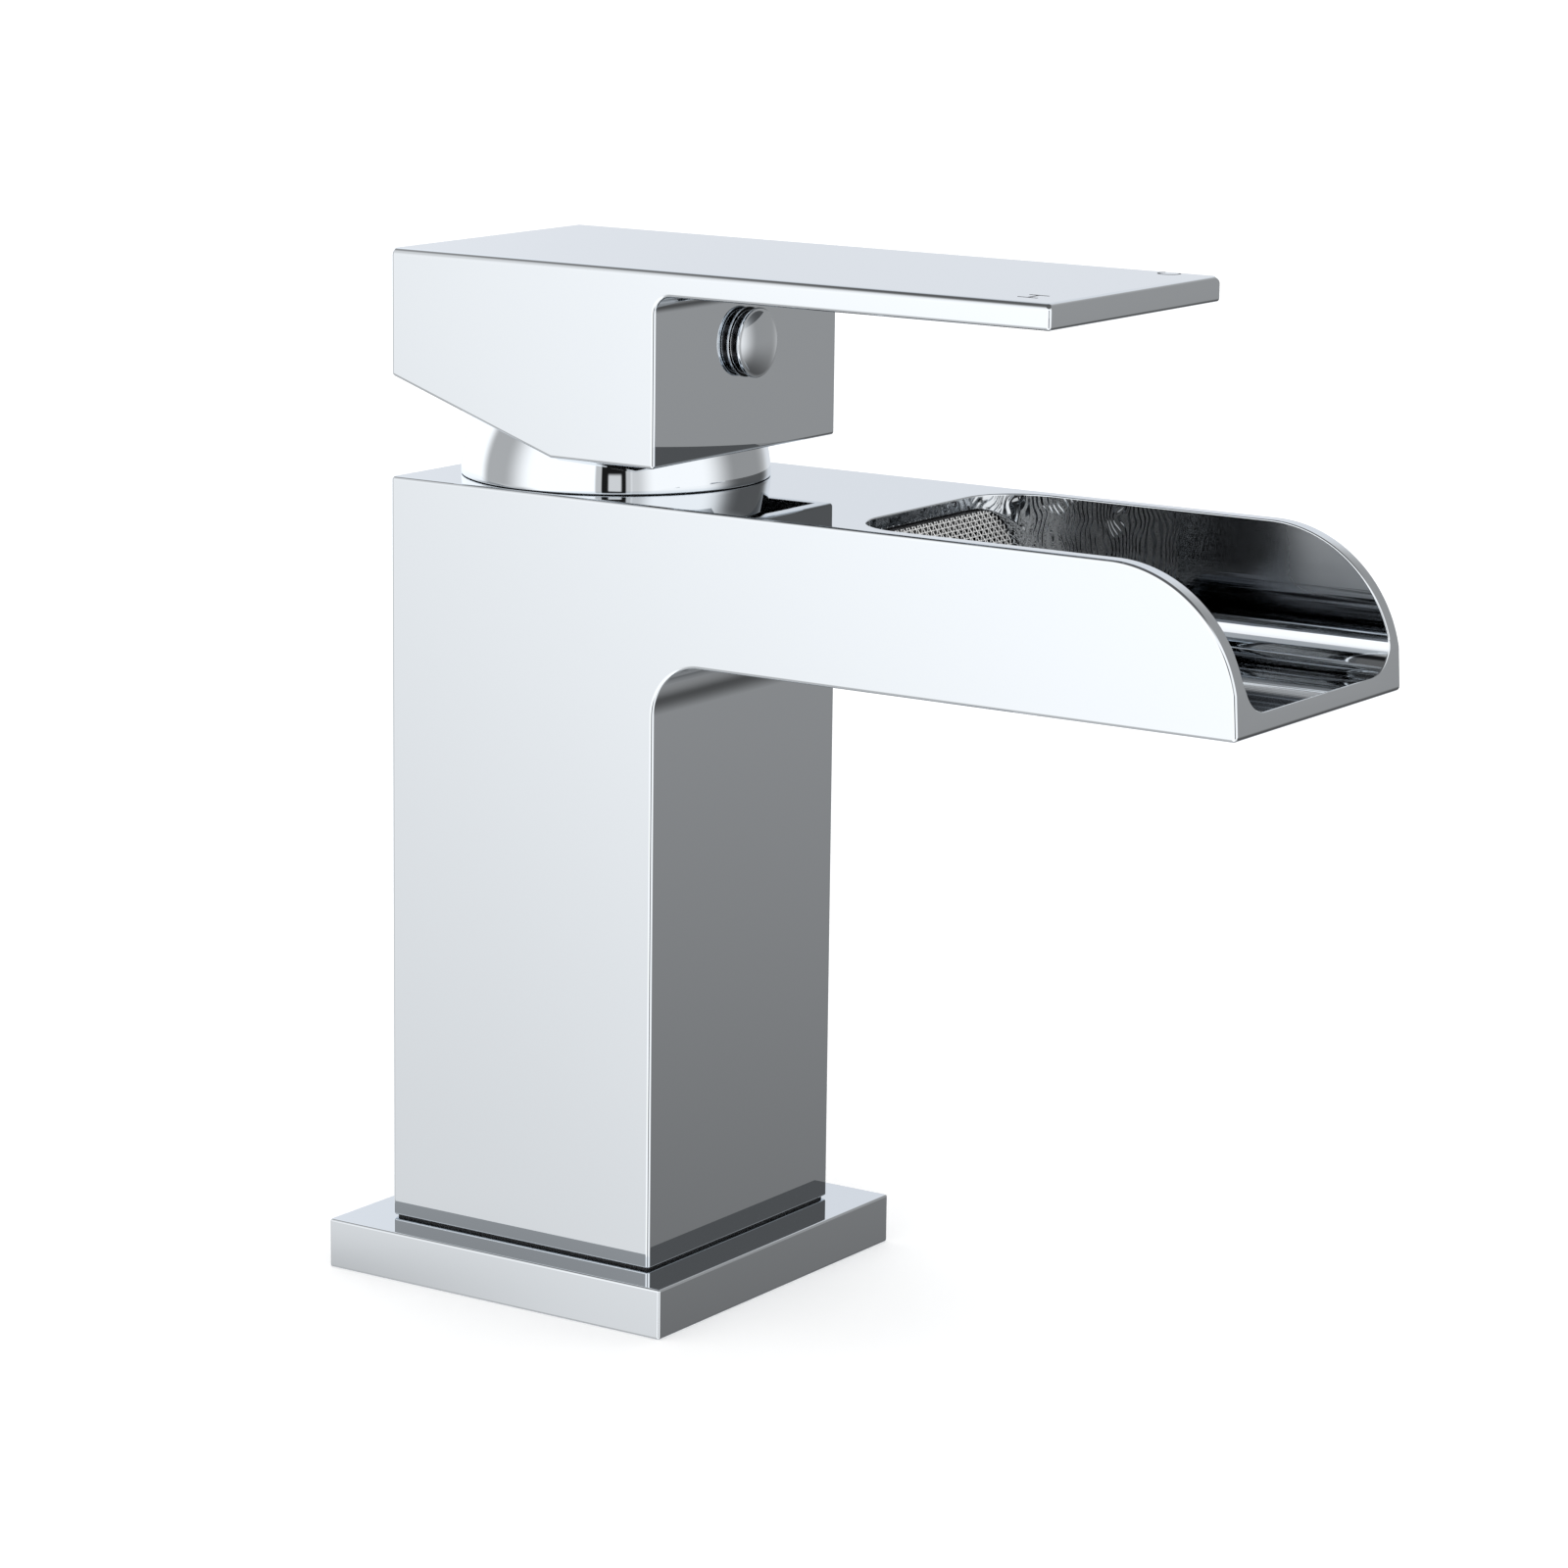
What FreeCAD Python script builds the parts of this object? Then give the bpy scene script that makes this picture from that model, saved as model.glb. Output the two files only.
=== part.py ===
import FreeCAD, Part
import math
import os

from FreeCAD import Vector

# Single-lever waterfall basin mixer.
# Frame: origin at the centre of the flange's underside, +Z up, spout towards -Y. Millimetres.

# ---------------------------------------------------------------- driving dimensions
COLUMN_WIDTH = 46.0            # square column and spout width
BODY_TOP_Z = 117.0             # flat top of the column and spout
COLUMN_FOOT_Z = 7.7            # underside of the casting, above the gasket
SPOUT_UNDERSIDE_Z = 95.0
SPOUT_REACH = 115.1            # column axis to the spout's tip
SPOUT_END_RADIUS = 19.7        # the large curve that cuts the side walls down to the tip
UNDER_SPOUT_FILLET = 7.5
SMALL_EDGE = 0.5               # polished edge rounding on the casting

FLANGE_WIDTH = 59.2
FLANGE_HEIGHT = 7.3
FLANGE_BORE_R = 18.0

CHANNEL_HALF_WIDTH = 20.4
CHANNEL_FLOOR_Z = 98.0
CHANNEL_REAR_Y = -52.0         # rear edge of the open channel in the top face
CHANNEL_REAR_CORNER = 9.0      # upright corners of the opening
CHANNEL_FLOOR_CORNER = 5.5
TUNNEL_TOP_Z = 114.9           # underside of the lip over the hidden water chamber
TUNNEL_TOP_CORNER = 6.5
TUNNEL_REAR_Y = -25.0

CHAMBER_R = 18.0               # cartridge chamber bored into the column
CHAMBER_FLOOR_Z = 86.6
COLUMN_WALL = 3.0

LIFT_PIVOT_Z = 116.4           # height of the lever's pin, which is also the dome's centre
LIFT_ARM = 15.0                # pin to the ball that drives the ceramic disc
BALL_R = 2.2
DISC_REST_Y = 2.6              # the moving disc sits this far back when the lever is down
DOME_R = 22.3
DOME_WALL = 1.3
DOME_OPENING_R = 16.5
DOME_BASE_Z = 117.2

HANDLE_WIDTH = 45.4
HANDLE_REAR_Y = 23.1
HANDLE_TOP_Z = 149.5
HANDLE_BOTTOM_Z = 122.0
HANDLE_REAR_BOTTOM_Z = 131.4
HANDLE_SLOPE_Y = -5.0          # where the sloped underside starts
BLOCK_FRONT_Y = -22.6
LEVER_TIP_Y = -85.5
LEVER_THICKNESS = 3.6
LEVER_FILLET = 2.5
HANDLE_CAVITY_R = 22.8         # clears the dome all round
HUB_R = 8.6                    # boss that grips the stem
HUB_FOOT_Z = 126.6
HANDLE_WALL = 2.0              # side walls left round the hollow underside
UNDERSIDE_DEPTH = 4.5          # depth of that hollow
HANDLE_EDGE = 0.5

STEM_SIDE = 7.8
STEM_TOP_Z = 144.0
PLUG_Z = 137.6                 # height of the index plug and the grub screw behind it
PLUG_HEAD_R = 4.95

SCREEN_LEAN_DEG = 17.0         # the screen leans back at its top
SCREEN_TOP_Y = -52.7
SCREEN_THICKNESS = 0.5
SCREEN_PITCH = 1.9
SCREEN_HOLE = 1.35

INLET_X = 7.0                  # hot at -X, cold at +X
INLET_Y = -3.5
INLET_THREAD_R = 4.5           # M10x1 tapping bore
INLET_DEPTH = 13.0
INLET_BORE_R = 3.0
STUD_Y = 10.0
STUD_THREAD_R = 3.4            # M8 tapping bore
STUD_DEPTH = 16.0
SPIGOT_R = 17.8
SPIGOT_FOOT_Z = 2.5
BLOCK_TOP_Z = 26.0
TUBE_R = 4.5

HALF = COLUMN_WIDTH / 2
GAP = 0.05                     # radial clearance where one turned part turns in another


# ---------------------------------------------------------------- shape helpers
def box(x0, x1, y0, y1, z0, z1):
    return Part.makeBox(x1 - x0, y1 - y0, z1 - z0, Vector(x0, y0, z0))


def cylinder(radius, z0, z1, x=0.0, y=0.0):
    return Part.makeCylinder(radius, z1 - z0, Vector(x, y, z0))


def ring(outer, inner, z0, z1, x=0.0, y=0.0):
    return cylinder(outer, z0, z1, x, y).cut(cylinder(inner, z0 - 1, z1 + 1, x, y))


def cylinder_y(radius, y0, y1, z, x=0.0):
    return Part.makeCylinder(radius, y1 - y0, Vector(x, y0, z), Vector(0, 1, 0))


def cylinder_x(radius, x0, x1, y, z):
    return Part.makeCylinder(radius, x1 - x0, Vector(x0, y, z), Vector(1, 0, 0))


def prism(points, direction):
    face = Part.Face(Part.makePolygon(points + [points[0]]))
    return face.extrude(direction)


def o_ring(centre_r, wire_r, z, x=0.0, y=0.0):
    return Part.makeTorus(centre_r, wire_r, Vector(x, y, z))


def side_prism(outline, half_width):
    """Outline of (y, z) points, extruded across the part's width."""
    points = [Vector(-half_width, y, z) for y, z in outline]
    return prism(points, Vector(2 * half_width, 0, 0))


def rounded_section(half_width, z0, z1, low_radius, high_radius, y0, y1):
    """Bar along Y whose XZ section has its lower and upper corners rounded."""
    bar = box(-half_width, half_width, y0, y1, z0, z1)
    for radius, z in ((low_radius, z0), (high_radius, z1)):
        if radius > 0:
            bar = fillet_where(bar, radius, lambda e, z=z: runs_along(e, 1) and near(e, 2, z))
    return bar


def runs_along(edge, axis):
    if len(edge.Vertexes) < 2:
        return False
    span = edge.Vertexes[1].Point - edge.Vertexes[0].Point
    return abs(span[axis]) > 0.999 * span.Length > 0.1


def near(edge, axis, value):
    return abs(edge.CenterOfMass[axis] - value) < 0.01


def fillet_where(shape, radius, wanted):
    return shape.makeFillet(radius, [e for e in shape.Edges if wanted(e)])


def revolve_about_y(profile, z):
    """Profile of (radius, y) points turned about the line x = 0, z = z."""
    face = Part.Face(Part.makePolygon([Vector(r, y, z) for r, y in profile + [profile[0]]]))
    return face.revolve(Vector(0, 0, z), Vector(0, 1, 0), 360)


def save(name, shape):
    shape = shape.removeSplitter() if shape.ShapeType != "Compound" else shape
    solids = shape.Solids
    if not all(s.isValid() for s in solids):
        raise RuntimeError(name + " is not a valid solid")
    out = solids[0] if len(solids) == 1 else Part.makeCompound(solids)
    out.exportStep("parts/" + name + ".step")
    print("%-22s %2d solid(s) %9.1f mm3" % (name, len(solids), out.Volume))


# ---------------------------------------------------------------- deck flange
def base_flange():
    half = FLANGE_WIDTH / 2
    plate = box(-half, half, -half, half, 0, FLANGE_HEIGHT)
    plate = plate.makeFillet(0.3, plate.Edges)
    seal_groove = ring(26.0, 21.0, -1, 1.6)
    return plate.cut(cylinder(FLANGE_BORE_R, -1, FLANGE_HEIGHT + 1)).cut(seal_groove)


def flange_seal():
    return ring(25.9, 21.1, 0, 1.6)


def column_gasket():
    edge = HALF - 0.6
    plate = box(-edge, edge, -edge, edge, FLANGE_HEIGHT, COLUMN_FOOT_Z)
    return plate.cut(cylinder(FLANGE_BORE_R, FLANGE_HEIGHT - 1, COLUMN_FOOT_Z + 1))


# ---------------------------------------------------------------- body casting
def casting_blank():
    """Column and spout as one outline, with the spout's end cut to a large curve."""
    centre_y = -SPOUT_REACH + SPOUT_END_RADIUS
    centre_z = BODY_TOP_Z - SPOUT_END_RADIUS
    c45 = math.cos(math.pi / 4)
    x = -HALF
    tip = 0.8
    top_front = Vector(x, centre_y, BODY_TOP_Z)
    end_mid = Vector(x, centre_y - SPOUT_END_RADIUS * c45, centre_z + SPOUT_END_RADIUS * c45)
    tip_top = Vector(x, -SPOUT_REACH, centre_z)
    tip_side = Vector(x, -SPOUT_REACH, SPOUT_UNDERSIDE_Z + tip)
    tip_mid = Vector(x, -SPOUT_REACH + tip * (1 - c45), SPOUT_UNDERSIDE_Z + tip * (1 - c45))
    tip_under = Vector(x, -SPOUT_REACH + tip, SPOUT_UNDERSIDE_Z)
    corner = Vector(x, -HALF, SPOUT_UNDERSIDE_Z)
    foot_front = Vector(x, -HALF, COLUMN_FOOT_Z)
    foot_rear = Vector(x, HALF, COLUMN_FOOT_Z)
    top_rear = Vector(x, HALF, BODY_TOP_Z)
    edges = [
        Part.makeLine(top_rear, top_front),
        Part.Arc(top_front, end_mid, tip_top).toShape(),
        Part.makeLine(tip_top, tip_side),
        Part.Arc(tip_side, tip_mid, tip_under).toShape(),
        Part.makeLine(tip_under, corner),
        Part.makeLine(corner, foot_front),
        Part.makeLine(foot_front, foot_rear),
        Part.makeLine(foot_rear, top_rear),
    ]
    blank = Part.Face(Part.Wire(edges)).extrude(Vector(COLUMN_WIDTH, 0, 0))
    blank = fillet_where(
        blank, UNDER_SPOUT_FILLET,
        lambda e: runs_along(e, 0) and near(e, 1, -HALF) and near(e, 2, SPOUT_UNDERSIDE_Z))
    return fillet_where(blank, SMALL_EDGE, lambda e: is_outer_edge(e))


def is_outer_edge(edge):
    """Every sharp edge of the blank except those of its foot."""
    box_ = edge.BoundBox
    if box_.ZMax < COLUMN_FOOT_Z + 0.01:
        return False
    across = box_.XLength > 1
    if not across:
        return True
    return near(edge, 1, HALF)


def open_channel():
    """The open waterfall channel with its rounded rear corners and floor corners."""
    trough = rounded_section(
        CHANNEL_HALF_WIDTH, CHANNEL_FLOOR_Z, BODY_TOP_Z + 20, CHANNEL_FLOOR_CORNER, 0,
        -SPOUT_REACH - 10, CHANNEL_REAR_Y)
    footprint = box(-CHANNEL_HALF_WIDTH, CHANNEL_HALF_WIDTH, -SPOUT_REACH - 20, CHANNEL_REAR_Y,
                    CHANNEL_FLOOR_Z - 5, BODY_TOP_Z + 30)
    footprint = fillet_where(
        footprint, CHANNEL_REAR_CORNER,
        lambda e: runs_along(e, 2) and near(e, 1, CHANNEL_REAR_Y))
    return trough.common(footprint)


def water_tunnel(y0=CHANNEL_REAR_Y - 18, y1=TUNNEL_REAR_Y):
    return rounded_section(CHANNEL_HALF_WIDTH, CHANNEL_FLOOR_Z, TUNNEL_TOP_Z,
                           CHANNEL_FLOOR_CORNER, TUNNEL_TOP_CORNER, y0, y1)


def body_casting():
    body = casting_blank()
    inner = HALF - COLUMN_WALL
    hollow = box(-inner, inner, -inner, inner, COLUMN_FOOT_Z - 1, CHAMBER_FLOOR_Z - 5)
    body = body.cut(hollow)
    body = body.cut(cylinder(CHAMBER_R, CHAMBER_FLOOR_Z, BODY_TOP_Z + 1))
    body = body.cut(open_channel()).cut(water_tunnel())
    riser = box(-8, 8, -20.4, -15, CHAMBER_FLOOR_Z + 1, 105)
    outlet = box(-8, 8, TUNNEL_REAR_Y - 1, -15, CHANNEL_FLOOR_Z + 0.5, 105)
    body = body.cut(riser).cut(outlet)
    for side in (-1, 1):
        body = body.cut(cylinder(TUBE_R + 0.02, CHAMBER_FLOOR_Z - 6, CHAMBER_FLOOR_Z - 2,
                                 side * INLET_X, INLET_Y))
        body = body.cut(cylinder(INLET_BORE_R, CHAMBER_FLOOR_Z - 6, CHAMBER_FLOOR_Z + 1,
                                 side * INLET_X, INLET_Y))
    return body


# ---------------------------------------------------------------- foot of the column
def inlet_block():
    edge = HALF - COLUMN_WALL - GAP
    block = box(-edge, edge, -edge, edge, COLUMN_FOOT_Z, BLOCK_TOP_Z)
    block = block.fuse(cylinder(SPIGOT_R, SPIGOT_FOOT_Z, COLUMN_FOOT_Z))
    for side in (-1, 1):
        x = side * INLET_X
        block = block.cut(cylinder(INLET_THREAD_R, SPIGOT_FOOT_Z - 1,
                                   SPIGOT_FOOT_Z + INLET_DEPTH, x, INLET_Y))
        block = block.cut(cylinder(INLET_BORE_R, SPIGOT_FOOT_Z, BLOCK_TOP_Z + 1, x, INLET_Y))
        block = block.cut(cylinder(TUBE_R + 0.02, BLOCK_TOP_Z - 5, BLOCK_TOP_Z + 1, x, INLET_Y))
    stud_bore = cylinder(STUD_THREAD_R, SPIGOT_FOOT_Z - 1, SPIGOT_FOOT_Z + STUD_DEPTH, 0, STUD_Y)
    return block.cut(stud_bore)


def supply_tube(side):
    return ring(TUBE_R, INLET_BORE_R, BLOCK_TOP_Z - 5, CHAMBER_FLOOR_Z - 2,
                side * INLET_X, INLET_Y)


def tube_seals():
    seals = []
    for side in (-1, 1):
        for z in (BLOCK_TOP_Z + 0.8, CHAMBER_FLOOR_Z - 5.8):
            seals.append(o_ring(TUBE_R + 0.85, 0.8, z, side * INLET_X, INLET_Y))
    return Part.makeCompound(seals)


# ---------------------------------------------------------------- spout screen
def leaning(shape):
    """Turns an upright sheet in the plane y = 0 to the screen's place and lean."""
    shape = shape.copy()
    shape.rotate(Vector(0, 0, 0), Vector(1, 0, 0), SCREEN_LEAN_DEG * -1)
    shape.translate(Vector(0, SCREEN_TOP_Y, TUNNEL_TOP_Z - 0.1))
    return shape


def screen_blank(y0, y1, margin):
    """Leaning slab, trimmed to the tunnel's section less a margin."""
    slab = leaning(box(-30, 30, y0, y1, -30, 10))
    fence = rounded_section(
        CHANNEL_HALF_WIDTH - margin, CHANNEL_FLOOR_Z + margin, TUNNEL_TOP_Z - margin,
        CHANNEL_FLOOR_CORNER - margin, TUNNEL_TOP_CORNER - margin, -80, -30)
    return slab.common(fence)


def spout_screen_mesh():
    """Wire mesh, as one sheet with square holes; the outer rows are left whole."""
    sheet = screen_blank(-SCREEN_THICKNESS, 0, 0.05)
    rows = 8
    columns = 20
    holes = []
    for row in range(rows):
        for column in range(columns):
            x = (column - (columns - 1) / 2) * SCREEN_PITCH
            z = -2.2 - row * SCREEN_PITCH
            corner_column = column in (0, columns - 1)
            corner_row = row < 2 or row > rows - 3
            if corner_column and corner_row:
                continue
            h = SCREEN_HOLE / 2
            holes.append(leaning(box(x - h, x + h, -3, 3, z - h, z + h)))
    return sheet.cut(Part.makeCompound(holes))


def spout_screen_frame():
    """Retaining frame behind the mesh."""
    outer = screen_blank(0, 1.4, 0.05)
    inner = screen_blank(-1, 3, 2.2)
    return outer.cut(inner)


# ---------------------------------------------------------------- cartridge
BASE_TOP_Z = CHAMBER_FLOOR_Z + 6.0
FIXED_DISC_TOP_Z = BASE_TOP_Z + 3.0
MOVING_DISC_TOP_Z = FIXED_DISC_TOP_Z + 3.1
CARRIER_TOP_Z = MOVING_DISC_TOP_Z + 4.5
TURRET_FOOT_Z = CARRIER_TOP_Z + 0.8
TURRET_FLANGE_TOP_Z = TURRET_FOOT_Z + 4.2
HOUSING_R = 17.6
HOUSING_BORE_R = 15.4
HOUSING_SHOULDER_Z = TURRET_FLANGE_TOP_Z + 3.4
TURRET_R = 10.5
TURRET_TOP_Z = 121.6
TURRET_GROOVE_Z = 111.8        # between the turret's flange and the lever's pin
NECK_R = 12.3
NECK_TOP_Z = 121.2
NUT_COLLAR_R = 16.6
DISC_R = 11.8
PORT_R = 2.4
PORTS = ((-INLET_X, INLET_Y), (INLET_X, INLET_Y))
OUTLET_PORT_Y = 6.0
OUTLET_PORT_R = 3.0


def cartridge_base():
    base = cylinder(HOUSING_R, CHAMBER_FLOOR_Z + 0.6, BASE_TOP_Z)
    for x, y in PORTS:
        base = base.cut(cylinder(INLET_BORE_R, CHAMBER_FLOOR_Z, BASE_TOP_Z + 1, x, y))
        base = base.cut(cylinder(4.9, CHAMBER_FLOOR_Z, CHAMBER_FLOOR_Z + 1.6, x, y))
    base = base.cut(cylinder(OUTLET_PORT_R, CHAMBER_FLOOR_Z + 3, BASE_TOP_Z + 1, 0, OUTLET_PORT_Y))
    # the outlet runs forward between the two inlet bores and leaves through the front wall
    front_passage = box(-2.6, 2.6, -HOUSING_R - 1, OUTLET_PORT_Y, CHAMBER_FLOOR_Z + 3, BASE_TOP_Z - 1)
    return base.cut(front_passage)


def cartridge_port_seals():
    seals = [ring(4.8, INLET_BORE_R, CHAMBER_FLOOR_Z, CHAMBER_FLOOR_Z + 1.6, x, y)
             for x, y in PORTS]
    return Part.makeCompound(seals)


def fixed_disc():
    disc = cylinder(14.5, BASE_TOP_Z, FIXED_DISC_TOP_Z)
    for x, y in PORTS:
        disc = disc.cut(cylinder(PORT_R, BASE_TOP_Z - 1, FIXED_DISC_TOP_Z + 1, x, y))
    return disc.cut(cylinder(OUTLET_PORT_R, BASE_TOP_Z - 1, FIXED_DISC_TOP_Z + 1, 0, OUTLET_PORT_Y))


def moving_disc():
    """The mixing pocket always covers the outlet; it reaches the inlets as the disc slides forward."""
    disc = cylinder(DISC_R, FIXED_DISC_TOP_Z + 0.1, MOVING_DISC_TOP_Z, 0, DISC_REST_Y)
    outline = [(-9, -3), (9, -3), (9, 1.5), (3.4, 9), (-3.4, 9), (-9, 1.5)]
    points = [Vector(x, y + DISC_REST_Y, FIXED_DISC_TOP_Z) for x, y in outline]
    pocket = prism(points, Vector(0, 0, 1.8))
    return disc.cut(fillet_where(pocket, 1.8, lambda e: runs_along(e, 2)))


def disc_carrier():
    carrier = cylinder(DISC_R, MOVING_DISC_TOP_Z, CARRIER_TOP_Z, 0, DISC_REST_Y)
    for x0, x1 in ((-20, -9), (9, 20)):
        carrier = carrier.cut(box(x0, x1, -20, 20, MOVING_DISC_TOP_Z + 1.4, CARRIER_TOP_Z + 1))
    return carrier.cut(cylinder(BALL_R + 0.3, MOVING_DISC_TOP_Z + 0.2, CARRIER_TOP_Z + 1))


def cartridge_housing():
    shell = cylinder(HOUSING_R, BASE_TOP_Z, HOUSING_SHOULDER_Z)
    shell = shell.fuse(cylinder(NECK_R, HOUSING_SHOULDER_Z, NECK_TOP_Z))
    shell = shell.cut(cylinder(HOUSING_BORE_R, BASE_TOP_Z - 1, HOUSING_SHOULDER_Z - 3))
    shell = shell.cut(cylinder(TURRET_R + GAP, BASE_TOP_Z, NECK_TOP_Z + 1))
    groove = ring(HOUSING_R + 1, HOUSING_R - 1.2, HOUSING_SHOULDER_Z - 3.4, HOUSING_SHOULDER_Z - 1.4)
    return shell.cut(groove)


def housing_seal():
    return o_ring(HOUSING_R - 0.3, 0.65, HOUSING_SHOULDER_Z - 2.4)


def turret():
    """Turning collar that carries the lever's pin; its flange guides the disc carrier."""
    collar = cylinder(TURRET_R, TURRET_FOOT_Z, TURRET_TOP_Z)
    flange = cylinder(HOUSING_BORE_R - 0.3, TURRET_FOOT_Z, TURRET_FLANGE_TOP_Z)
    guides = [box(side * 10.6 - 1.3, side * 10.6 + 1.3, -9, 9, MOVING_DISC_TOP_Z + 1.8, TURRET_FOOT_Z)
              for side in (-1, 1)]
    part = collar.fuse([flange] + guides)
    part = part.cut(box(-4.25, 4.25, -6.6, 6.6, TURRET_FOOT_Z - 1, TURRET_TOP_Z + 1))
    part = part.cut(cylinder_x(2.0, -9.5, 9.5, 0, LIFT_PIVOT_Z))
    return part.cut(ring(TURRET_R + 1, TURRET_R - 0.9, TURRET_GROOVE_Z - 0.8, TURRET_GROOVE_Z + 0.8))


def turret_seal():
    return o_ring(TURRET_R - 0.42, 0.4, TURRET_GROOVE_Z)


def stem_pin():
    return cylinder_x(2.0, -9.5, 9.5, 0, LIFT_PIVOT_Z)


def retaining_nut():
    """Brass nut that clamps the cartridge; its collar carries the dome's thread."""
    nut = ring(CHAMBER_R, NECK_R + 0.4, HOUSING_SHOULDER_Z, BODY_TOP_Z)
    nut = nut.fuse(ring(NUT_COLLAR_R, NECK_R + 0.4, BODY_TOP_Z, BODY_TOP_Z + 3.0))
    for angle in range(0, 180, 60):
        slot = box(-20, 20, -1.5, 1.5, BODY_TOP_Z + 1.4, BODY_TOP_Z + 4)
        slot.rotate(Vector(0, 0, 0), Vector(0, 0, 1), angle)
        nut = nut.cut(slot)
    return nut


# ---------------------------------------------------------------- dome cover
def dome_cover():
    outer = Part.makeSphere(DOME_R, Vector(0, 0, LIFT_PIVOT_Z))
    outer = outer.common(cylinder(DOME_R + 1, DOME_BASE_Z, LIFT_PIVOT_Z + 30))
    inner = Part.makeSphere(DOME_R - DOME_WALL, Vector(0, 0, LIFT_PIVOT_Z))
    inner = inner.common(cylinder(DOME_R, DOME_BASE_Z + 2.0, LIFT_PIVOT_Z + 30))
    shell = outer.cut(inner)
    shell = shell.cut(cylinder(DOME_OPENING_R, LIFT_PIVOT_Z + 8, LIFT_PIVOT_Z + 30))
    return shell.cut(cylinder(NUT_COLLAR_R, DOME_BASE_Z - 1, DOME_BASE_Z + 3))


def dome_seal():
    return ring(DOME_R - 0.6, CHAMBER_R + 0.2, BODY_TOP_Z, DOME_BASE_Z)


# ---------------------------------------------------------------- lever
def stem():
    """Square spindle with a ball at its foot, pinned in the turret."""
    foot_z = LIFT_PIVOT_Z - 5.4
    square = box(-STEM_SIDE / 2, STEM_SIDE / 2, -STEM_SIDE / 2, STEM_SIDE / 2, foot_z, STEM_TOP_Z)
    square = fillet_where(square, 0.6, lambda e: runs_along(e, 2))
    neck = cylinder(1.7, LIFT_PIVOT_Z - LIFT_ARM, foot_z + 1)
    ball = Part.makeSphere(BALL_R, Vector(0, 0, LIFT_PIVOT_Z - LIFT_ARM))
    part = square.fuse([neck, ball])
    return part.cut(cylinder_x(2.0 + GAP, -6, 6, 0, LIFT_PIVOT_Z))


def handle_blank():
    lever_bottom = HANDLE_TOP_Z - LEVER_THICKNESS
    outline = [
        (HANDLE_REAR_Y, HANDLE_TOP_Z),
        (LEVER_TIP_Y, HANDLE_TOP_Z),
        (LEVER_TIP_Y, lever_bottom),
        (BLOCK_FRONT_Y, lever_bottom),
        (BLOCK_FRONT_Y, HANDLE_BOTTOM_Z),
        (HANDLE_SLOPE_Y, HANDLE_BOTTOM_Z),
        (HANDLE_REAR_Y, HANDLE_REAR_BOTTOM_Z),
    ]
    blank = side_prism(outline, HANDLE_WIDTH / 2)
    blank = fillet_where(
        blank, LEVER_FILLET,
        lambda e: runs_along(e, 0) and near(e, 1, BLOCK_FRONT_Y) and near(e, 2, lever_bottom))
    return fillet_where(blank, HANDLE_EDGE, is_handle_edge)


def is_handle_edge(edge):
    if edge.BoundBox.XLength < 1:
        return True
    return near(edge, 2, HANDLE_TOP_Z) and edge.CenterOfMass.y > 0


def underside_hollow():
    """Shallow hollow that follows the block's underside, inside its side walls."""
    front = BLOCK_FRONT_Y + HANDLE_WALL
    rear = HANDLE_REAR_Y - HANDLE_WALL
    slope = (HANDLE_REAR_BOTTOM_Z - HANDLE_BOTTOM_Z) / (HANDLE_REAR_Y - HANDLE_SLOPE_Y)
    ceiling_z = HANDLE_BOTTOM_Z + UNDERSIDE_DEPTH
    outline = [
        (front, HANDLE_BOTTOM_Z - 1),
        (front, ceiling_z),
        (HANDLE_SLOPE_Y, ceiling_z),
        (rear, ceiling_z + slope * (rear - HANDLE_SLOPE_Y)),
        (rear, HANDLE_BOTTOM_Z - 1),
    ]
    return side_prism(outline, HANDLE_WIDTH / 2 - HANDLE_WALL)


def handle():
    part = handle_blank()
    hub = cylinder(HUB_R, HUB_FOOT_Z, LIFT_PIVOT_Z + 30)
    cavity = Part.makeSphere(HANDLE_CAVITY_R, Vector(0, 0, LIFT_PIVOT_Z))
    part = part.cut(cavity.cut(hub)).cut(underside_hollow().cut(hub))
    part = part.cut(ring(13.5, HUB_R, LIFT_PIVOT_Z + 17, STEM_TOP_Z))
    half = STEM_SIDE / 2 + GAP
    part = part.cut(box(-half, half, -half, half, HUB_FOOT_Z - 1, STEM_TOP_Z + 0.3))
    part = part.cut(cylinder_y(2.5, -10, -half + 0.5, PLUG_Z))
    part = part.cut(cylinder_y(3.0, BLOCK_FRONT_Y, -8.5, PLUG_Z))
    return part.cut(cylinder_y(4.0, BLOCK_FRONT_Y - 1, -17.6, PLUG_Z))


def grub_screw():
    screw = cylinder_y(2.5, -HUB_R - 0.4, -STEM_SIDE / 2, PLUG_Z)
    hexagon = [Vector(1.45 * math.cos(math.radians(a)), -11, PLUG_Z + 1.45 * math.sin(math.radians(a)))
               for a in range(0, 360, 60)]
    return screw.cut(prism(hexagon, Vector(0, 4.4, 0)))


def index_plug():
    """Push-in plug over the grub screw: shank, collar, neck and a domed head."""
    face = BLOCK_FRONT_Y
    collar = face - 0.3
    head = face - 1.4
    rim = face - 1.9
    neck_r = 4.45
    crown = 0.75
    profile = [(0, -17.8), (3.9, -17.8), (4.0, -18.4), (4.0, face), (PLUG_HEAD_R, face),
               (PLUG_HEAD_R, collar), (neck_r, collar), (neck_r, head), (PLUG_HEAD_R, head),
               (PLUG_HEAD_R, rim + 0.2), (PLUG_HEAD_R - 0.2, rim)]
    steps = 6
    for k in range(1, steps + 1):
        r = (PLUG_HEAD_R - 0.2) * (1 - k / steps)
        profile.append((r, rim - crown * (1 - (r / (PLUG_HEAD_R - 0.2)) ** 2)))
    return revolve_about_y(profile, PLUG_Z)


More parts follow.
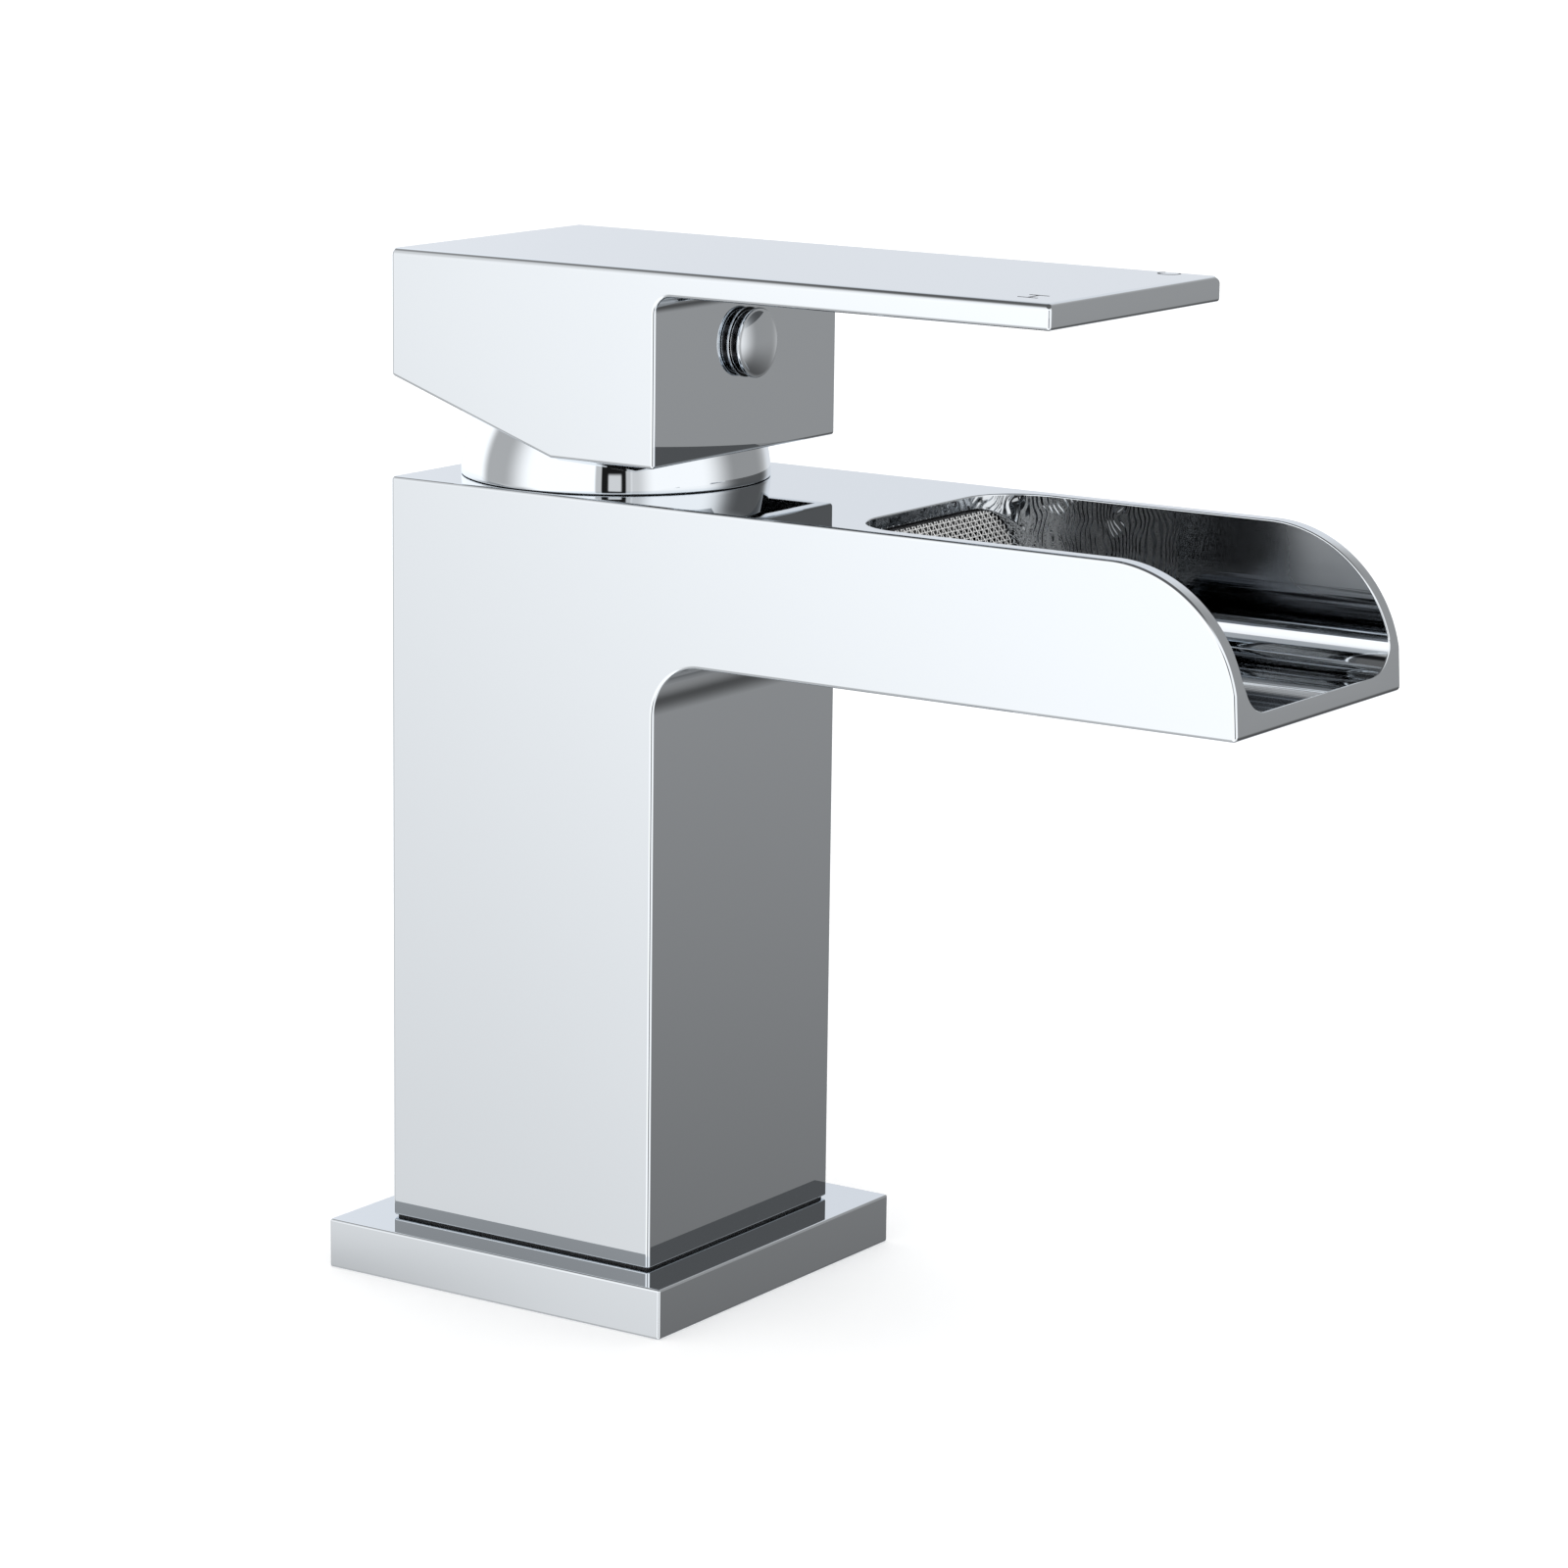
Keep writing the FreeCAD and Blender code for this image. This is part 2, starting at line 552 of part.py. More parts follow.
# ---------------------------------------------------------------- write every node
def main():
    os.makedirs("parts", exist_ok=True)
    save("base_flange", base_flange())
    save("flange_seal", flange_seal())
    save("column_gasket", column_gasket())
    save("body_casting", body_casting())
    save("inlet_block", inlet_block())
    save("hot_supply_tube", supply_tube(-1))
    save("cold_supply_tube", supply_tube(1))
    save("tube_seals", tube_seals())
    save("spout_screen_mesh", spout_screen_mesh())
    save("spout_screen_frame", spout_screen_frame())
    save("cartridge_base", cartridge_base())
    save("cartridge_port_seals", cartridge_port_seals())
    save("fixed_disc", fixed_disc())
    save("moving_disc", moving_disc())
    save("disc_carrier", disc_carrier())
    save("cartridge_housing", cartridge_housing())
    save("housing_seal", housing_seal())
    save("turret", turret())
    save("turret_seal", turret_seal())
    save("stem_pin", stem_pin())
    save("retaining_nut", retaining_nut())
    save("dome_cover", dome_cover())
    save("dome_seal", dome_seal())
    save("stem", stem())
    save("handle", handle())
    save("grub_screw", grub_screw())
    save("index_plug", index_plug())


main()
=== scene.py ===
import math
from functools import partial

import bmesh
import bpy
from mathutils import Matrix, Vector


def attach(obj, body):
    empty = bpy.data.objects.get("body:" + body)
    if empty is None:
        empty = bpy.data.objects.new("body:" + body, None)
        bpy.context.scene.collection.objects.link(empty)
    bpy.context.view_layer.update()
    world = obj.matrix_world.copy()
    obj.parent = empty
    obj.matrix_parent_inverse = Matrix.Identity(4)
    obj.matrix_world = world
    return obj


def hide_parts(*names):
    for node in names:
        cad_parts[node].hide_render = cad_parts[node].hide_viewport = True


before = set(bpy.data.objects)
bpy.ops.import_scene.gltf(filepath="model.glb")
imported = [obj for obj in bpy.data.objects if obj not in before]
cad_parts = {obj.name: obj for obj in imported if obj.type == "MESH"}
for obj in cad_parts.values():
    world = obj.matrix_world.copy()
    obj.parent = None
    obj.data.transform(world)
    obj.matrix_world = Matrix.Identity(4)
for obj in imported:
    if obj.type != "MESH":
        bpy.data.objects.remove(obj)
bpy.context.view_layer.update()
scene = bpy.context.scene
scene.view_settings.view_transform = "Standard"


# ------------------------------------------------------------------ camera
# The photograph's viewpoint: close to the handle's height, turned to the faucet's left front
# corner, with a long lens. Its frame is square.
CAMERA_AZIMUTH = -56.219
CAMERA_ELEVATION = 11.854
CAMERA_ROLL = 0.749
CAMERA_PLACE = (-0.58856, -0.42346, 0.22365)
SENSOR_WIDTH = 36.0
FOCAL_LENGTH = 116.784

camera_data = bpy.data.cameras.new("camera")
camera_data.sensor_fit = "HORIZONTAL"
camera_data.sensor_width = SENSOR_WIDTH
camera_data.lens = FOCAL_LENGTH
camera_data.clip_end = 50.0
camera = bpy.data.objects.new("camera", camera_data)
scene.collection.objects.link(camera)
camera.matrix_world = (
    Matrix.Translation(CAMERA_PLACE)
    @ Matrix.Rotation(math.radians(CAMERA_AZIMUTH), 4, "Z")
    @ Matrix.Rotation(math.radians(90 - CAMERA_ELEVATION), 4, "X")
    @ Matrix.Rotation(math.radians(CAMERA_ROLL), 4, "Z"))
scene.camera = camera


# ------------------------------------------------------------------ studio
# A white room with soft panels. The chrome mirrors these panels; the camera and the matt pieces see
# plain white. Angles are degrees round from the photographer, negative to the photographer's left.
# A panel called "twice" shows only in light that has already left another mirroring face.
WHITE = (1.0, 1.0, 1.0, 1.0)
CHROME_REFLECTANCE = 0.80
ROOM_LEVEL = 1.04
WALL_LEVEL = 1.08
COOL_WALL = (0.985, 1.02, 1.075, 1.0)
COOL_WALL_FROM = (152, 14)     # how far round the wall behind turns cool, and how softly
SECOND_MIRROR_DEPTH = 2.5      # the room counts as one step, so one mirror gives 2 and two give 3
STUDIO_PANELS = [
    # name, level, from, softness, to, softness, lowest, softness, highest, softness
    ("left_flag", 0.40, -112, 6, -76, 14, -90, 1, 40, 12),
    ("left_twice", 0.27, -125, 15, -62, 10, 14, 4, 24, 4),
    ("back_wall_left", 0.645, -200, 1, -168, 12, -40, 10, 60, 10),
    ("white_wall_right", 0.955, 22, 6, 200, 1, -90, 1, 90, 1),
    ("right_flag", 0.28, 85, 17, 156, 26, -90, 1, 60, 10),
    ("right_twice", 0.09, 94, 15, 150, 15, -90, 1, 24, 4),
    ("back_wall", 0.645, 155, 12, 200, 1, -40, 10, 60, 10),
    ("overhead", 0.10, -200, 1, 200, 1, 46, 12, 91, 1),
    ("right_dim_edge", 0.59, 13, 1.5, 24, 7, -90, 1, 24, 8),
    ("camera_gap_left", 0.52, -13.3, 1.0, 13, 1.0, -30, 8, 22, 6),
    ("camera_gap", 0.01, -8.7, 0.6, 9.3, 0.7, -30, 8, 22, 6),
    ("camera_gap_light", 0.62, -3.6, 0.9, 5.8, 0.9, -4, 1.5, 9.5, 1.5),
    ("floor_right", 0.07, 75, 20, 160, 15, -90, 1, -16.5, 11.5),
    ("floor_right_near", 0.26, 75, 20, 200, 1, -90, 1, -34, 6),
    ("floor_left", 0.60, -200, 1, -64, 8, -90, 1, -13.5, 10.5),
    ("floor_left_far", 0.45, -200, 1, -71.8, 2.2, -90, 1, -17.2, 0.8),
]


def feed(tree, socket, value):
    """Gives an input a number, or another node's output."""
    if isinstance(value, bpy.types.NodeSocket):
        tree.links.new(value, socket)
    else:
        socket.default_value = value


def math_node(tree, operation, *values):
    """One calculation with numbers or other nodes' outputs."""
    node = tree.nodes.new("ShaderNodeMath")
    node.operation = operation
    for socket, value in zip(node.inputs, values):
        feed(tree, socket, value)
    return node.outputs[0]


def ramp_node(tree, value, low, high):
    """Rises smoothly from 0 to 1 as the value goes from low to high."""
    node = tree.nodes.new("ShaderNodeMapRange")
    node.interpolation_type = "SMOOTHSTEP"
    node.inputs["From Min"].default_value = low
    node.inputs["From Max"].default_value = high
    tree.links.new(value, node.inputs["Value"])
    return node.outputs["Result"]


world = bpy.data.worlds.new("studio")
scene.world = world
world.use_nodes = True
room = world.node_tree
room.nodes.clear()
room_math = partial(math_node, room)


def room_mix(factor, first, second, kind="FLOAT", label=""):
    """Goes from the first level or colour to the second as the factor goes from 0 to 1."""
    node = room.nodes.new("ShaderNodeMix")
    node.data_type = kind
    node.label = label
    for name, value in (("Factor", factor), ("A", first), ("B", second)):
        feed(room, node.inputs[name], value)
    return node.outputs["Result"]


def room_step(value, edge, softness):
    """Rises smoothly from 0 to 1 as a value in degrees passes an edge."""
    return ramp_node(room, value, edge - softness, edge + softness)


def room_span(value, start, start_softness, end, end_softness):
    """1 between two edges, in degrees, and 0 outside them."""
    return room_math("MULTIPLY", room_step(value, start, start_softness),
                     room_math("SUBTRACT", 1, room_step(value, end, end_softness)))


swung = room.nodes.new("ShaderNodeVectorRotate")
swung.rotation_type = "Z_AXIS"
swung.inputs["Angle"].default_value = -math.radians(CAMERA_AZIMUTH)
toward = room.nodes.new("ShaderNodeTexCoord").outputs["Generated"]
room.links.new(toward, swung.inputs["Vector"])
split = room.nodes.new("ShaderNodeSeparateXYZ")
room.links.new(swung.outputs[0], split.inputs[0])
forward = room_math("MULTIPLY", split.outputs["Y"], -1)
around = room_math("DEGREES", room_math("ARCTAN2", split.outputs["X"], forward))
above = room_math("DEGREES", room_math("ARCSINE", split.outputs["Z"]))

rays = room.nodes.new("ShaderNodeLightPath")
second_mirror = room_math("GREATER_THAN", rays.outputs["Ray Depth"], SECOND_MIRROR_DEPTH)
level = ROOM_LEVEL
for name, brightness, *edges in STUDIO_PANELS:
    panel = room_math("MULTIPLY", room_span(around, *edges[:4]), room_span(above, *edges[4:]))
    if name.endswith("twice"):
        panel = room_math("MULTIPLY", panel, second_mirror)
    level = room_mix(panel, level, brightness, label=name)

in_mirrors = rays.outputs["Is Glossy Ray"]
mirrored = room_math("DIVIDE", level, CHROME_REFLECTANCE)
behind = room_step(room_math("ABSOLUTE", around), *COOL_WALL_FROM)
cool = room_math("MULTIPLY", behind, in_mirrors)
background = room.nodes.new("ShaderNodeBackground")
feed(room, background.inputs["Color"], room_mix(cool, WHITE, COOL_WALL, "RGBA"))
feed(room, background.inputs["Strength"], room_mix(in_mirrors, WALL_LEVEL, mirrored))
room_output = room.nodes.new("ShaderNodeOutputWorld")
feed(room, room_output.inputs["Surface"], background.outputs[0])


# ------------------------------------------------------------------ floor
# A white studio floor. It takes the object's soft shadow, and polished metal sees the room instead.
FLOOR_SIZE = 12.0
FLOOR_GLOW = 0.12              # lightens the shadow to the photograph's faint one


def new_material(name):
    """A material and its shader."""
    material = bpy.data.materials.new(name)
    material.use_nodes = True
    return material, material.node_tree.nodes["Principled BSDF"]


bm = bmesh.new()
bmesh.ops.create_grid(bm, x_segments=1, y_segments=1, size=FLOOR_SIZE / 2)
floor_mesh = bpy.data.meshes.new("floor")
bm.to_mesh(floor_mesh)
bm.free()
floor = bpy.data.objects.new("floor", floor_mesh)
scene.collection.objects.link(floor)
floor.visible_glossy = False
floor_material, floor_shader = new_material("floor_white")
floor_shader.inputs["Base Color"].default_value = WHITE
floor_shader.inputs["Roughness"].default_value = 1.0
floor_shader.inputs["Specular IOR Level"].default_value = 0.0
floor_shader.inputs["Emission Color"].default_value = WHITE
floor_shader.inputs["Emission Strength"].default_value = FLOOR_GLOW
floor_mesh.materials.append(floor_material)


# ------------------------------------------------------------------ chrome plate
# Bright chrome over nickel, polished before plating. A faint haze and very fine rubbing marks show
# only in its gloss. The marks group is shared by every polished metal below.
CHROME_COLOUR = (0.765, 0.800, 0.835, 1.0)
CHROME_GLOSS = (0.006, 0.022, 0.008)      # roughness where clean, where hazed, and of the streaks
CHROME_WAVE = 0.000004
HAZE_SCALE = 38.0
HAZE_DETAIL = 3.0
HAZE_RANGE = (0.42, 0.72)
RUB_DIRECTION = (0.5, 0.3, 0.8)
RUB_SCALE = (1400.0, 60.0, 1400.0)
RUB_DETAIL = 2.0


def noise_node(tree, vector, scale, detail):
    """Noise from 0 to 1 over a vector."""
    node = tree.nodes.new("ShaderNodeTexNoise")
    node.inputs["Scale"].default_value = scale
    node.inputs["Detail"].default_value = detail
    tree.links.new(vector, node.inputs["Vector"])
    return node.outputs["Fac"]


def streak_node(tree, vector, scale, detail, direction=(0.0, 0.0, 0.0)):
    """Noise drawn out along the direction in which its scale is least."""
    node = tree.nodes.new("ShaderNodeMapping")
    node.inputs["Rotation"].default_value = direction
    node.inputs["Scale"].default_value = scale
    tree.links.new(vector, node.inputs["Vector"])
    return noise_node(tree, node.outputs[0], 1.0, detail)


def bump_node(tree, height, distance, shader):
    """Gives a shader's normal the slopes of a height, times the distance in metres."""
    node = tree.nodes.new("ShaderNodeBump")
    node.inputs["Distance"].default_value = distance
    tree.links.new(height, node.inputs["Height"])
    tree.links.new(node.outputs[0], shader.inputs["Normal"])


def polish_group():
    """Roughness that drifts between two values, with fine rubbed streaks, and a height."""
    group = bpy.data.node_groups.new("polish_marks", "ShaderNodeTree")
    for name, way in (("Clean", "INPUT"), ("Hazed", "INPUT"), ("Streaks", "INPUT"),
                      ("Roughness", "OUTPUT"), ("Height", "OUTPUT")):
        group.interface.new_socket(name, in_out=way, socket_type="NodeSocketFloat")
    inputs, outputs = group.nodes.new("NodeGroupInput"), group.nodes.new("NodeGroupOutput")
    place = group.nodes.new("ShaderNodeTexCoord").outputs["Object"]

    haze = noise_node(group, place, HAZE_SCALE, HAZE_DETAIL)
    spread = group.nodes.new("ShaderNodeMapRange")
    spread.inputs["From Min"].default_value, spread.inputs["From Max"].default_value = HAZE_RANGE
    group.links.new(haze, spread.inputs["Value"])
    group.links.new(inputs.outputs["Clean"], spread.inputs["To Min"])
    group.links.new(inputs.outputs["Hazed"], spread.inputs["To Max"])

    rub = streak_node(group, place, RUB_SCALE, RUB_DETAIL, RUB_DIRECTION)
    rough = math_node(group, "MULTIPLY_ADD", rub, inputs.outputs["Streaks"],
                      spread.outputs["Result"])
    group.links.new(rough, outputs.inputs["Roughness"])
    group.links.new(haze, outputs.inputs["Height"])
    return group


POLISH = polish_group()


def polished_metal(name, colour, gloss, wave=0.0):
    """Metal with the polish group's gloss; wave is the height of its slight unevenness."""
    material, shader = new_material(name)
    tree = material.node_tree
    shader.inputs["Base Color"].default_value = colour
    shader.inputs["Metallic"].default_value = 1.0
    marks = tree.nodes.new("ShaderNodeGroup")
    marks.node_tree = POLISH
    for socket, value in zip(("Clean", "Hazed", "Streaks"), gloss):
        marks.inputs[socket].default_value = value
    tree.links.new(marks.outputs["Roughness"], shader.inputs["Roughness"])
    if wave:
        bump_node(tree, marks.outputs["Height"], wave, shader)
    return material


CHROME = polished_metal("chrome_plate", CHROME_COLOUR, CHROME_GLOSS, CHROME_WAVE)


# ------------------------------------------------------------------ base_flange
# Square deck flange, pressed and machined from brass and chromed. The column stands on it, and a
# rubber ring sits in a groove in its underside.
MM = 0.001
PAST = 1.0                     # how far what is cut away or joined on reaches past a face
SHARP_ANGLE = math.radians(50)
ROUNDING_SEGMENTS = 2
EDGE_SEGMENTS = 4
SPIN_GAP = 1e-4                # spun points nearer than this, in millimetres, are joined,
JOIN_GAP = 1e-6                # and a finished mesh's nearer than this, in metres
FLANGE_WIDTH = 59.2
FLANGE_HEIGHT = 7.3
FLANGE_EDGE = 0.35
FLANGE_BORE_R = 18.0
SEAL_GROOVE = (21.0, 26.0, 1.6)


def make_object(name, bm):
    """Turns a finished bmesh, drawn in millimetres, into a linked object."""
    mesh = bpy.data.meshes.new(name)
    bmesh.ops.recalc_face_normals(bm, faces=bm.faces)
    bm.to_mesh(mesh)
    bm.free()
    made = bpy.data.objects.new(name, mesh)
    scene.collection.objects.link(made)
    return made


def bar(low, high, bm=None):
    """A bmesh box from one corner to the other, or one more box in the bmesh that is given."""
    bm = bmesh.new() if bm is None else bm
    corners = bmesh.ops.create_cube(bm, size=1.0)["verts"]
    bmesh.ops.scale(bm, vec=[b - a for a, b in zip(low, high)], verts=corners)
    bmesh.ops.translate(bm, vec=[(a + b) / 2 for a, b in zip(low, high)], verts=corners)
    return bm


def rod(radius, start, end, along_y_at=None, sides=96):
    """A bmesh cylinder on the Z axis, or along Y at a given height."""
    bm = bmesh.new()
    bmesh.ops.create_cone(bm, cap_ends=True, segments=sides, radius1=radius, radius2=radius,
                          depth=end - start)
    middle = (0, 0, (start + end) / 2)
    if along_y_at is not None:
        quarter = Matrix.Rotation(math.pi / 2, 3, "X")
        bmesh.ops.rotate(bm, cent=(0, 0, 0), matrix=quarter, verts=bm.verts)
        middle = (0, (start + end) / 2, along_y_at)
    bmesh.ops.translate(bm, vec=middle, verts=bm.verts)
    return bm


def turned(points, along_y_at=None, sides=128):
    """A closed profile of (radius, place) points spun about Z, or about Y at a given height."""
    bm = bmesh.new()
    if along_y_at is None:
        ring = [bm.verts.new((r, 0, place)) for r, place in points]
        centre, direction = (0, 0, 0), (0, 0, 1)
    else:
        ring = [bm.verts.new((r, place, along_y_at)) for r, place in points]
        centre, direction = (0, 0, along_y_at), (0, 1, 0)
    edges = [bm.edges.new((a, b)) for a, b in zip(ring, ring[1:] + ring[:1])
             if (a.co - b.co).length > 0 and max(a.co.x, b.co.x) > 0]
    bmesh.ops.spin(bm, geom=ring + edges, cent=centre, axis=direction, angle=2 * math.pi,
                   steps=sides, use_merge=True)
    bmesh.ops.remove_doubles(bm, verts=bm.verts, dist=SPIN_GAP)
    return bm


def boolean(target, cutter_bm, operation="DIFFERENCE"):
    """Joins the target with a bmesh, or cuts it, and bakes the result into its mesh."""
    cutter = make_object("cutter", cutter_bm)
    step = target.modifiers.new("cut", "BOOLEAN")
    step.operation = operation
    step.solver = "EXACT"
    step.object = cutter
    baked = bpy.data.meshes.new_from_object(
        target.evaluated_get(bpy.context.evaluated_depsgraph_get()))
    target.modifiers.clear()
    old = target.data
    target.data = baked
    bpy.data.meshes.remove(old)
    bpy.data.objects.remove(cutter)


def merge_doubles(mesh):
    """Joins points of a mesh in metres that fall together, so no needle or open cap is left."""
    bm = bmesh.new()
    bm.from_mesh(mesh)
    bmesh.ops.remove_doubles(bm, verts=bm.verts, dist=JOIN_GAP)
    bm.to_mesh(mesh)
    bm.free()


def dress(piece, material, edge=0.0):
    """Scales a millimetre mesh to metres, rounds its sharp edges and shades it smooth."""
    mesh = piece.data
    mesh.transform(Matrix.Scale(MM, 4))
    merge_doubles(mesh)
    mesh.materials.clear()
    mesh.materials.append(material)
    mesh.shade_smooth()
    if edge:
        rounding = piece.modifiers.new("edge", "BEVEL")
        rounding.width = edge * MM
        rounding.segments = ROUNDING_SEGMENTS
        rounding.limit_method = "ANGLE"
        rounding.angle_limit = SHARP_ANGLE
        rounding.use_clamp_overlap = False
        rounding.material = 0
    else:
        mesh.set_sharp_from_angle(angle=SHARP_ANGLE)
    weighted = piece.modifiers.new("flat_faces", "WEIGHTED_NORMAL")
    weighted.keep_sharp = True


def round_edges(bm, radius, segments, wanted):
    """Rounds the edges that pass a test."""
    chosen = [e for e in bm.edges if wanted(e)]
    bmesh.ops.bevel(bm, geom=chosen, offset=radius, offset_type="OFFSET", segments=segments,
                    profile=0.5, affect="EDGES", material=-1, clamp_overlap=False)


half = FLANGE_WIDTH / 2
bm = bar((-half, -half, 0), (half, half, FLANGE_HEIGHT))
round_edges(bm, FLANGE_EDGE, EDGE_SEGMENTS, lambda e: True)
flange = make_object("deck_flange", bm)
boolean(flange, rod(FLANGE_BORE_R, -PAST, FLANGE_HEIGHT + PAST))
groove_in, groove_out, groove_deep = SEAL_GROOVE
boolean(flange, turned([(groove_in, -PAST), (groove_out, -PAST), (groove_out, groove_deep),
                        (groove_in, groove_deep)]))
dress(flange, CHROME)
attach(flange, "faucet_body")
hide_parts("base_flange")


# ------------------------------------------------------------------ body_casting
# Column and open spout, cast in one piece in brass, ground, polished and chromed. The channel is
# open on top; behind its rear lip a water chamber feeds it through the screen.
COLUMN_HALF = 23.0
BODY_TOP = 117.0
COLUMN_FOOT = 7.6
SPOUT_UNDER = 95.0
SPOUT_TIP = -115.1
SPOUT_END_R = 19.7
SPOUT_END_SEGMENTS = 56
TIP_EDGE = 0.8
TIP_FACE_TOP = 100.6
UNDER_SPOUT_R = 7.5
BEND_SEGMENTS = 24
BODY_EDGE = 0.5
BODY_EDGE_ANGLE = 60.0
CHANNEL_HALF = 20.4
CHANNEL_FLOOR = 98.0
CHANNEL_REAR = -52.0
CHANNEL_REAR_R = 9.0
CHANNEL_FLOOR_R = 5.5
CHANNEL_SEGMENTS = 20
FOOTPRINT_PAST_TIP = 20.0      # the channel's two cutters reach well past the casting
FOOTPRINT_Z = (90.0, 140.0)
TROUGH_PAST_TIP = 15.0
TROUGH_PAST_REAR = 5.0
TROUGH_TOP = 135.0
TUNNEL_TOP = 114.9
TUNNEL_TOP_R = 6.5
TUNNEL_REAR = -25.0
CHAMBER_R = 18.0
CHAMBER_FLOOR = 86.6
CHAMBER_FLOOR_WALL = 5.0
COLUMN_WALL = 3.0
LONG = 1.0                     # an edge runs along an axis when it goes further than this along it
NEAR = 0.01
EDGE_ZONE = 1.0                # what is nearer than this to a face belongs to it

CHANNEL_GLOSS = (0.02, 0.05, 0.02)
# The channel's colour is darkened as painted shade: along strong streaks, more so on its floor,
# over its ridged rear and on its walls back from the tip, and less in the rear corners.
CHANNEL_PAINTED_SHADE = (0.045, 0.048, 0.052, 1.0)
STREAK_SCALE = (700.0, 14.0, 700.0)
STREAK_DETAIL = 4.0
STREAK_DEPTH = 0.25
STREAK_SHADE = (0.56, 0.66)      # noise where a streak's painted shade begins and where it is darkest
FLOOR_STREAKS = 0.17
WALL_STREAKS = -0.02
FLOOR_END = (0.2, 0.9)          # above the channel's floor: where the floor's streaks die out
WALL_START = (4.0, 6.0)         # and where its walls begin
# how dark the painted shade is over the rear and on the walls
REAR_PAINTED_SHADE = 0.7
WALL_PAINTED_SHADE = 0.75
TIP_LIGHT = (-104.0, -90.0)     # y where the walls' painted shade fades out towards the tip
CORNER_LIGHT = (-66.0, -58.0)   # y where the rear corners are painted lighter, a painted light for the light they catch
# the share of the painted shade left in the rear corners
CORNER_SHADE_KEPT = 0.25
TIP_HAZE = 0.35                 # the far wall is less polished high up near the tip
TIP_HAZE_Z = (103.0, 110.0)
RIDGED_Y = (-84.0, -70.0)       # the grinding ridges begin between these
RIDGE_SCALE = 393.0
RIDGE_WANDER = 22.0
RIDGE_WANDER_SCALE = 0.46
RIDGE_DETAIL = 1.0
RIDGE_HEIGHT = 0.00006
CHANNEL_END_GAP = 2.0           # the channel's finish stops this far short of its ends
CHANNEL_RIM_GAP = 0.3           # and this far below its rim


def slope_between(edge):
    """The angle between an edge's two faces, in degrees, or 0 where it has not exactly two."""
    return math.degrees(edge.calc_face_angle(0.0)) if len(edge.link_faces) == 2 else 0.0


def side_prism(corners, half_width):
    """A side outline of (y, z) corners, extruded across the width."""
    bm = bmesh.new()
    ring = [bm.verts.new((-half_width, y, z)) for y, z in corners]
    edges = [bm.edges.new((a, b)) for a, b in zip(ring, ring[1:] + ring[:1])]
    out = bmesh.ops.extrude_edge_only(bm, edges=edges)
    far = [v for v in out["geom"] if isinstance(v, bmesh.types.BMVert)]
    bmesh.ops.translate(bm, vec=(2 * half_width, 0, 0), verts=far)
    bmesh.ops.holes_fill(bm, edges=bm.edges, sides=0)
    bmesh.ops.recalc_face_normals(bm, faces=bm.faces)
    return bm


def runs_along(edge, axis):
    """Whether an edge goes far along an axis, given as 0, 1 or 2."""
    return abs(edge.verts[0].co[axis] - edge.verts[1].co[axis]) > LONG


def crosswise_at(y, z):
    """Picks the edge that runs across the width at (y, z)."""
    def test(edge):
        middle = (edge.verts[0].co + edge.verts[1].co) / 2
        return runs_along(edge, 0) and abs(middle.y - y) < NEAR and abs(middle.z - z) < NEAR
    return test


def lengthwise_at(z):
    """Picks the edges that run along Y at height z."""
    def test(edge):
        a, b = edge.verts[0].co, edge.verts[1].co
        return (runs_along(edge, 1) and abs(a.x - b.x) < NEAR
                and abs(a.z - z) < NEAR and abs(b.z - z) < NEAR)
    return test


def corner_inset(past, radius):
    """How far a rounded corner stands in, at a distance past the start of its rounding."""
    return radius - math.sqrt(max(radius ** 2 - past ** 2, 0.0)) if past > 0 else 0.0


def paint_inside(piece, material, inside):
    """Gives a second material to the faces whose centre, in millimetres, passes the test."""
    piece.data.materials.append(material)
    for face in piece.data.polygons:
        if inside(*(face.center / MM)):
            face.material_index = len(piece.data.materials) - 1


bm = side_prism([
    (COLUMN_HALF, BODY_TOP), (SPOUT_TIP, BODY_TOP), (SPOUT_TIP, SPOUT_UNDER),
    (-COLUMN_HALF, SPOUT_UNDER), (-COLUMN_HALF, COLUMN_FOOT), (COLUMN_HALF, COLUMN_FOOT)],
    COLUMN_HALF)
round_edges(bm, SPOUT_END_R, SPOUT_END_SEGMENTS, crosswise_at(SPOUT_TIP, BODY_TOP))
# The arc's lowest strips and the tip's face become one flat face, a little inside the true arc.
strips = [e for e in bm.edges if runs_along(e, 0)
          and all(v.co.y < SPOUT_TIP + EDGE_ZONE
                  and SPOUT_UNDER + EDGE_ZONE < v.co.z < TIP_FACE_TOP for v in e.verts)]
bmesh.ops.dissolve_edges(bm, edges=strips, use_verts=True)
round_edges(bm, TIP_EDGE, EDGE_SEGMENTS, crosswise_at(SPOUT_TIP, SPOUT_UNDER))
round_edges(bm, UNDER_SPOUT_R, BEND_SEGMENTS, crosswise_at(-COLUMN_HALF, SPOUT_UNDER))
round_edges(bm, BODY_EDGE, EDGE_SEGMENTS, lambda e: slope_between(e) > BODY_EDGE_ANGLE
            and max(v.co.z for v in e.verts) > COLUMN_FOOT + EDGE_ZONE)
body = make_object("column_and_spout", bm)

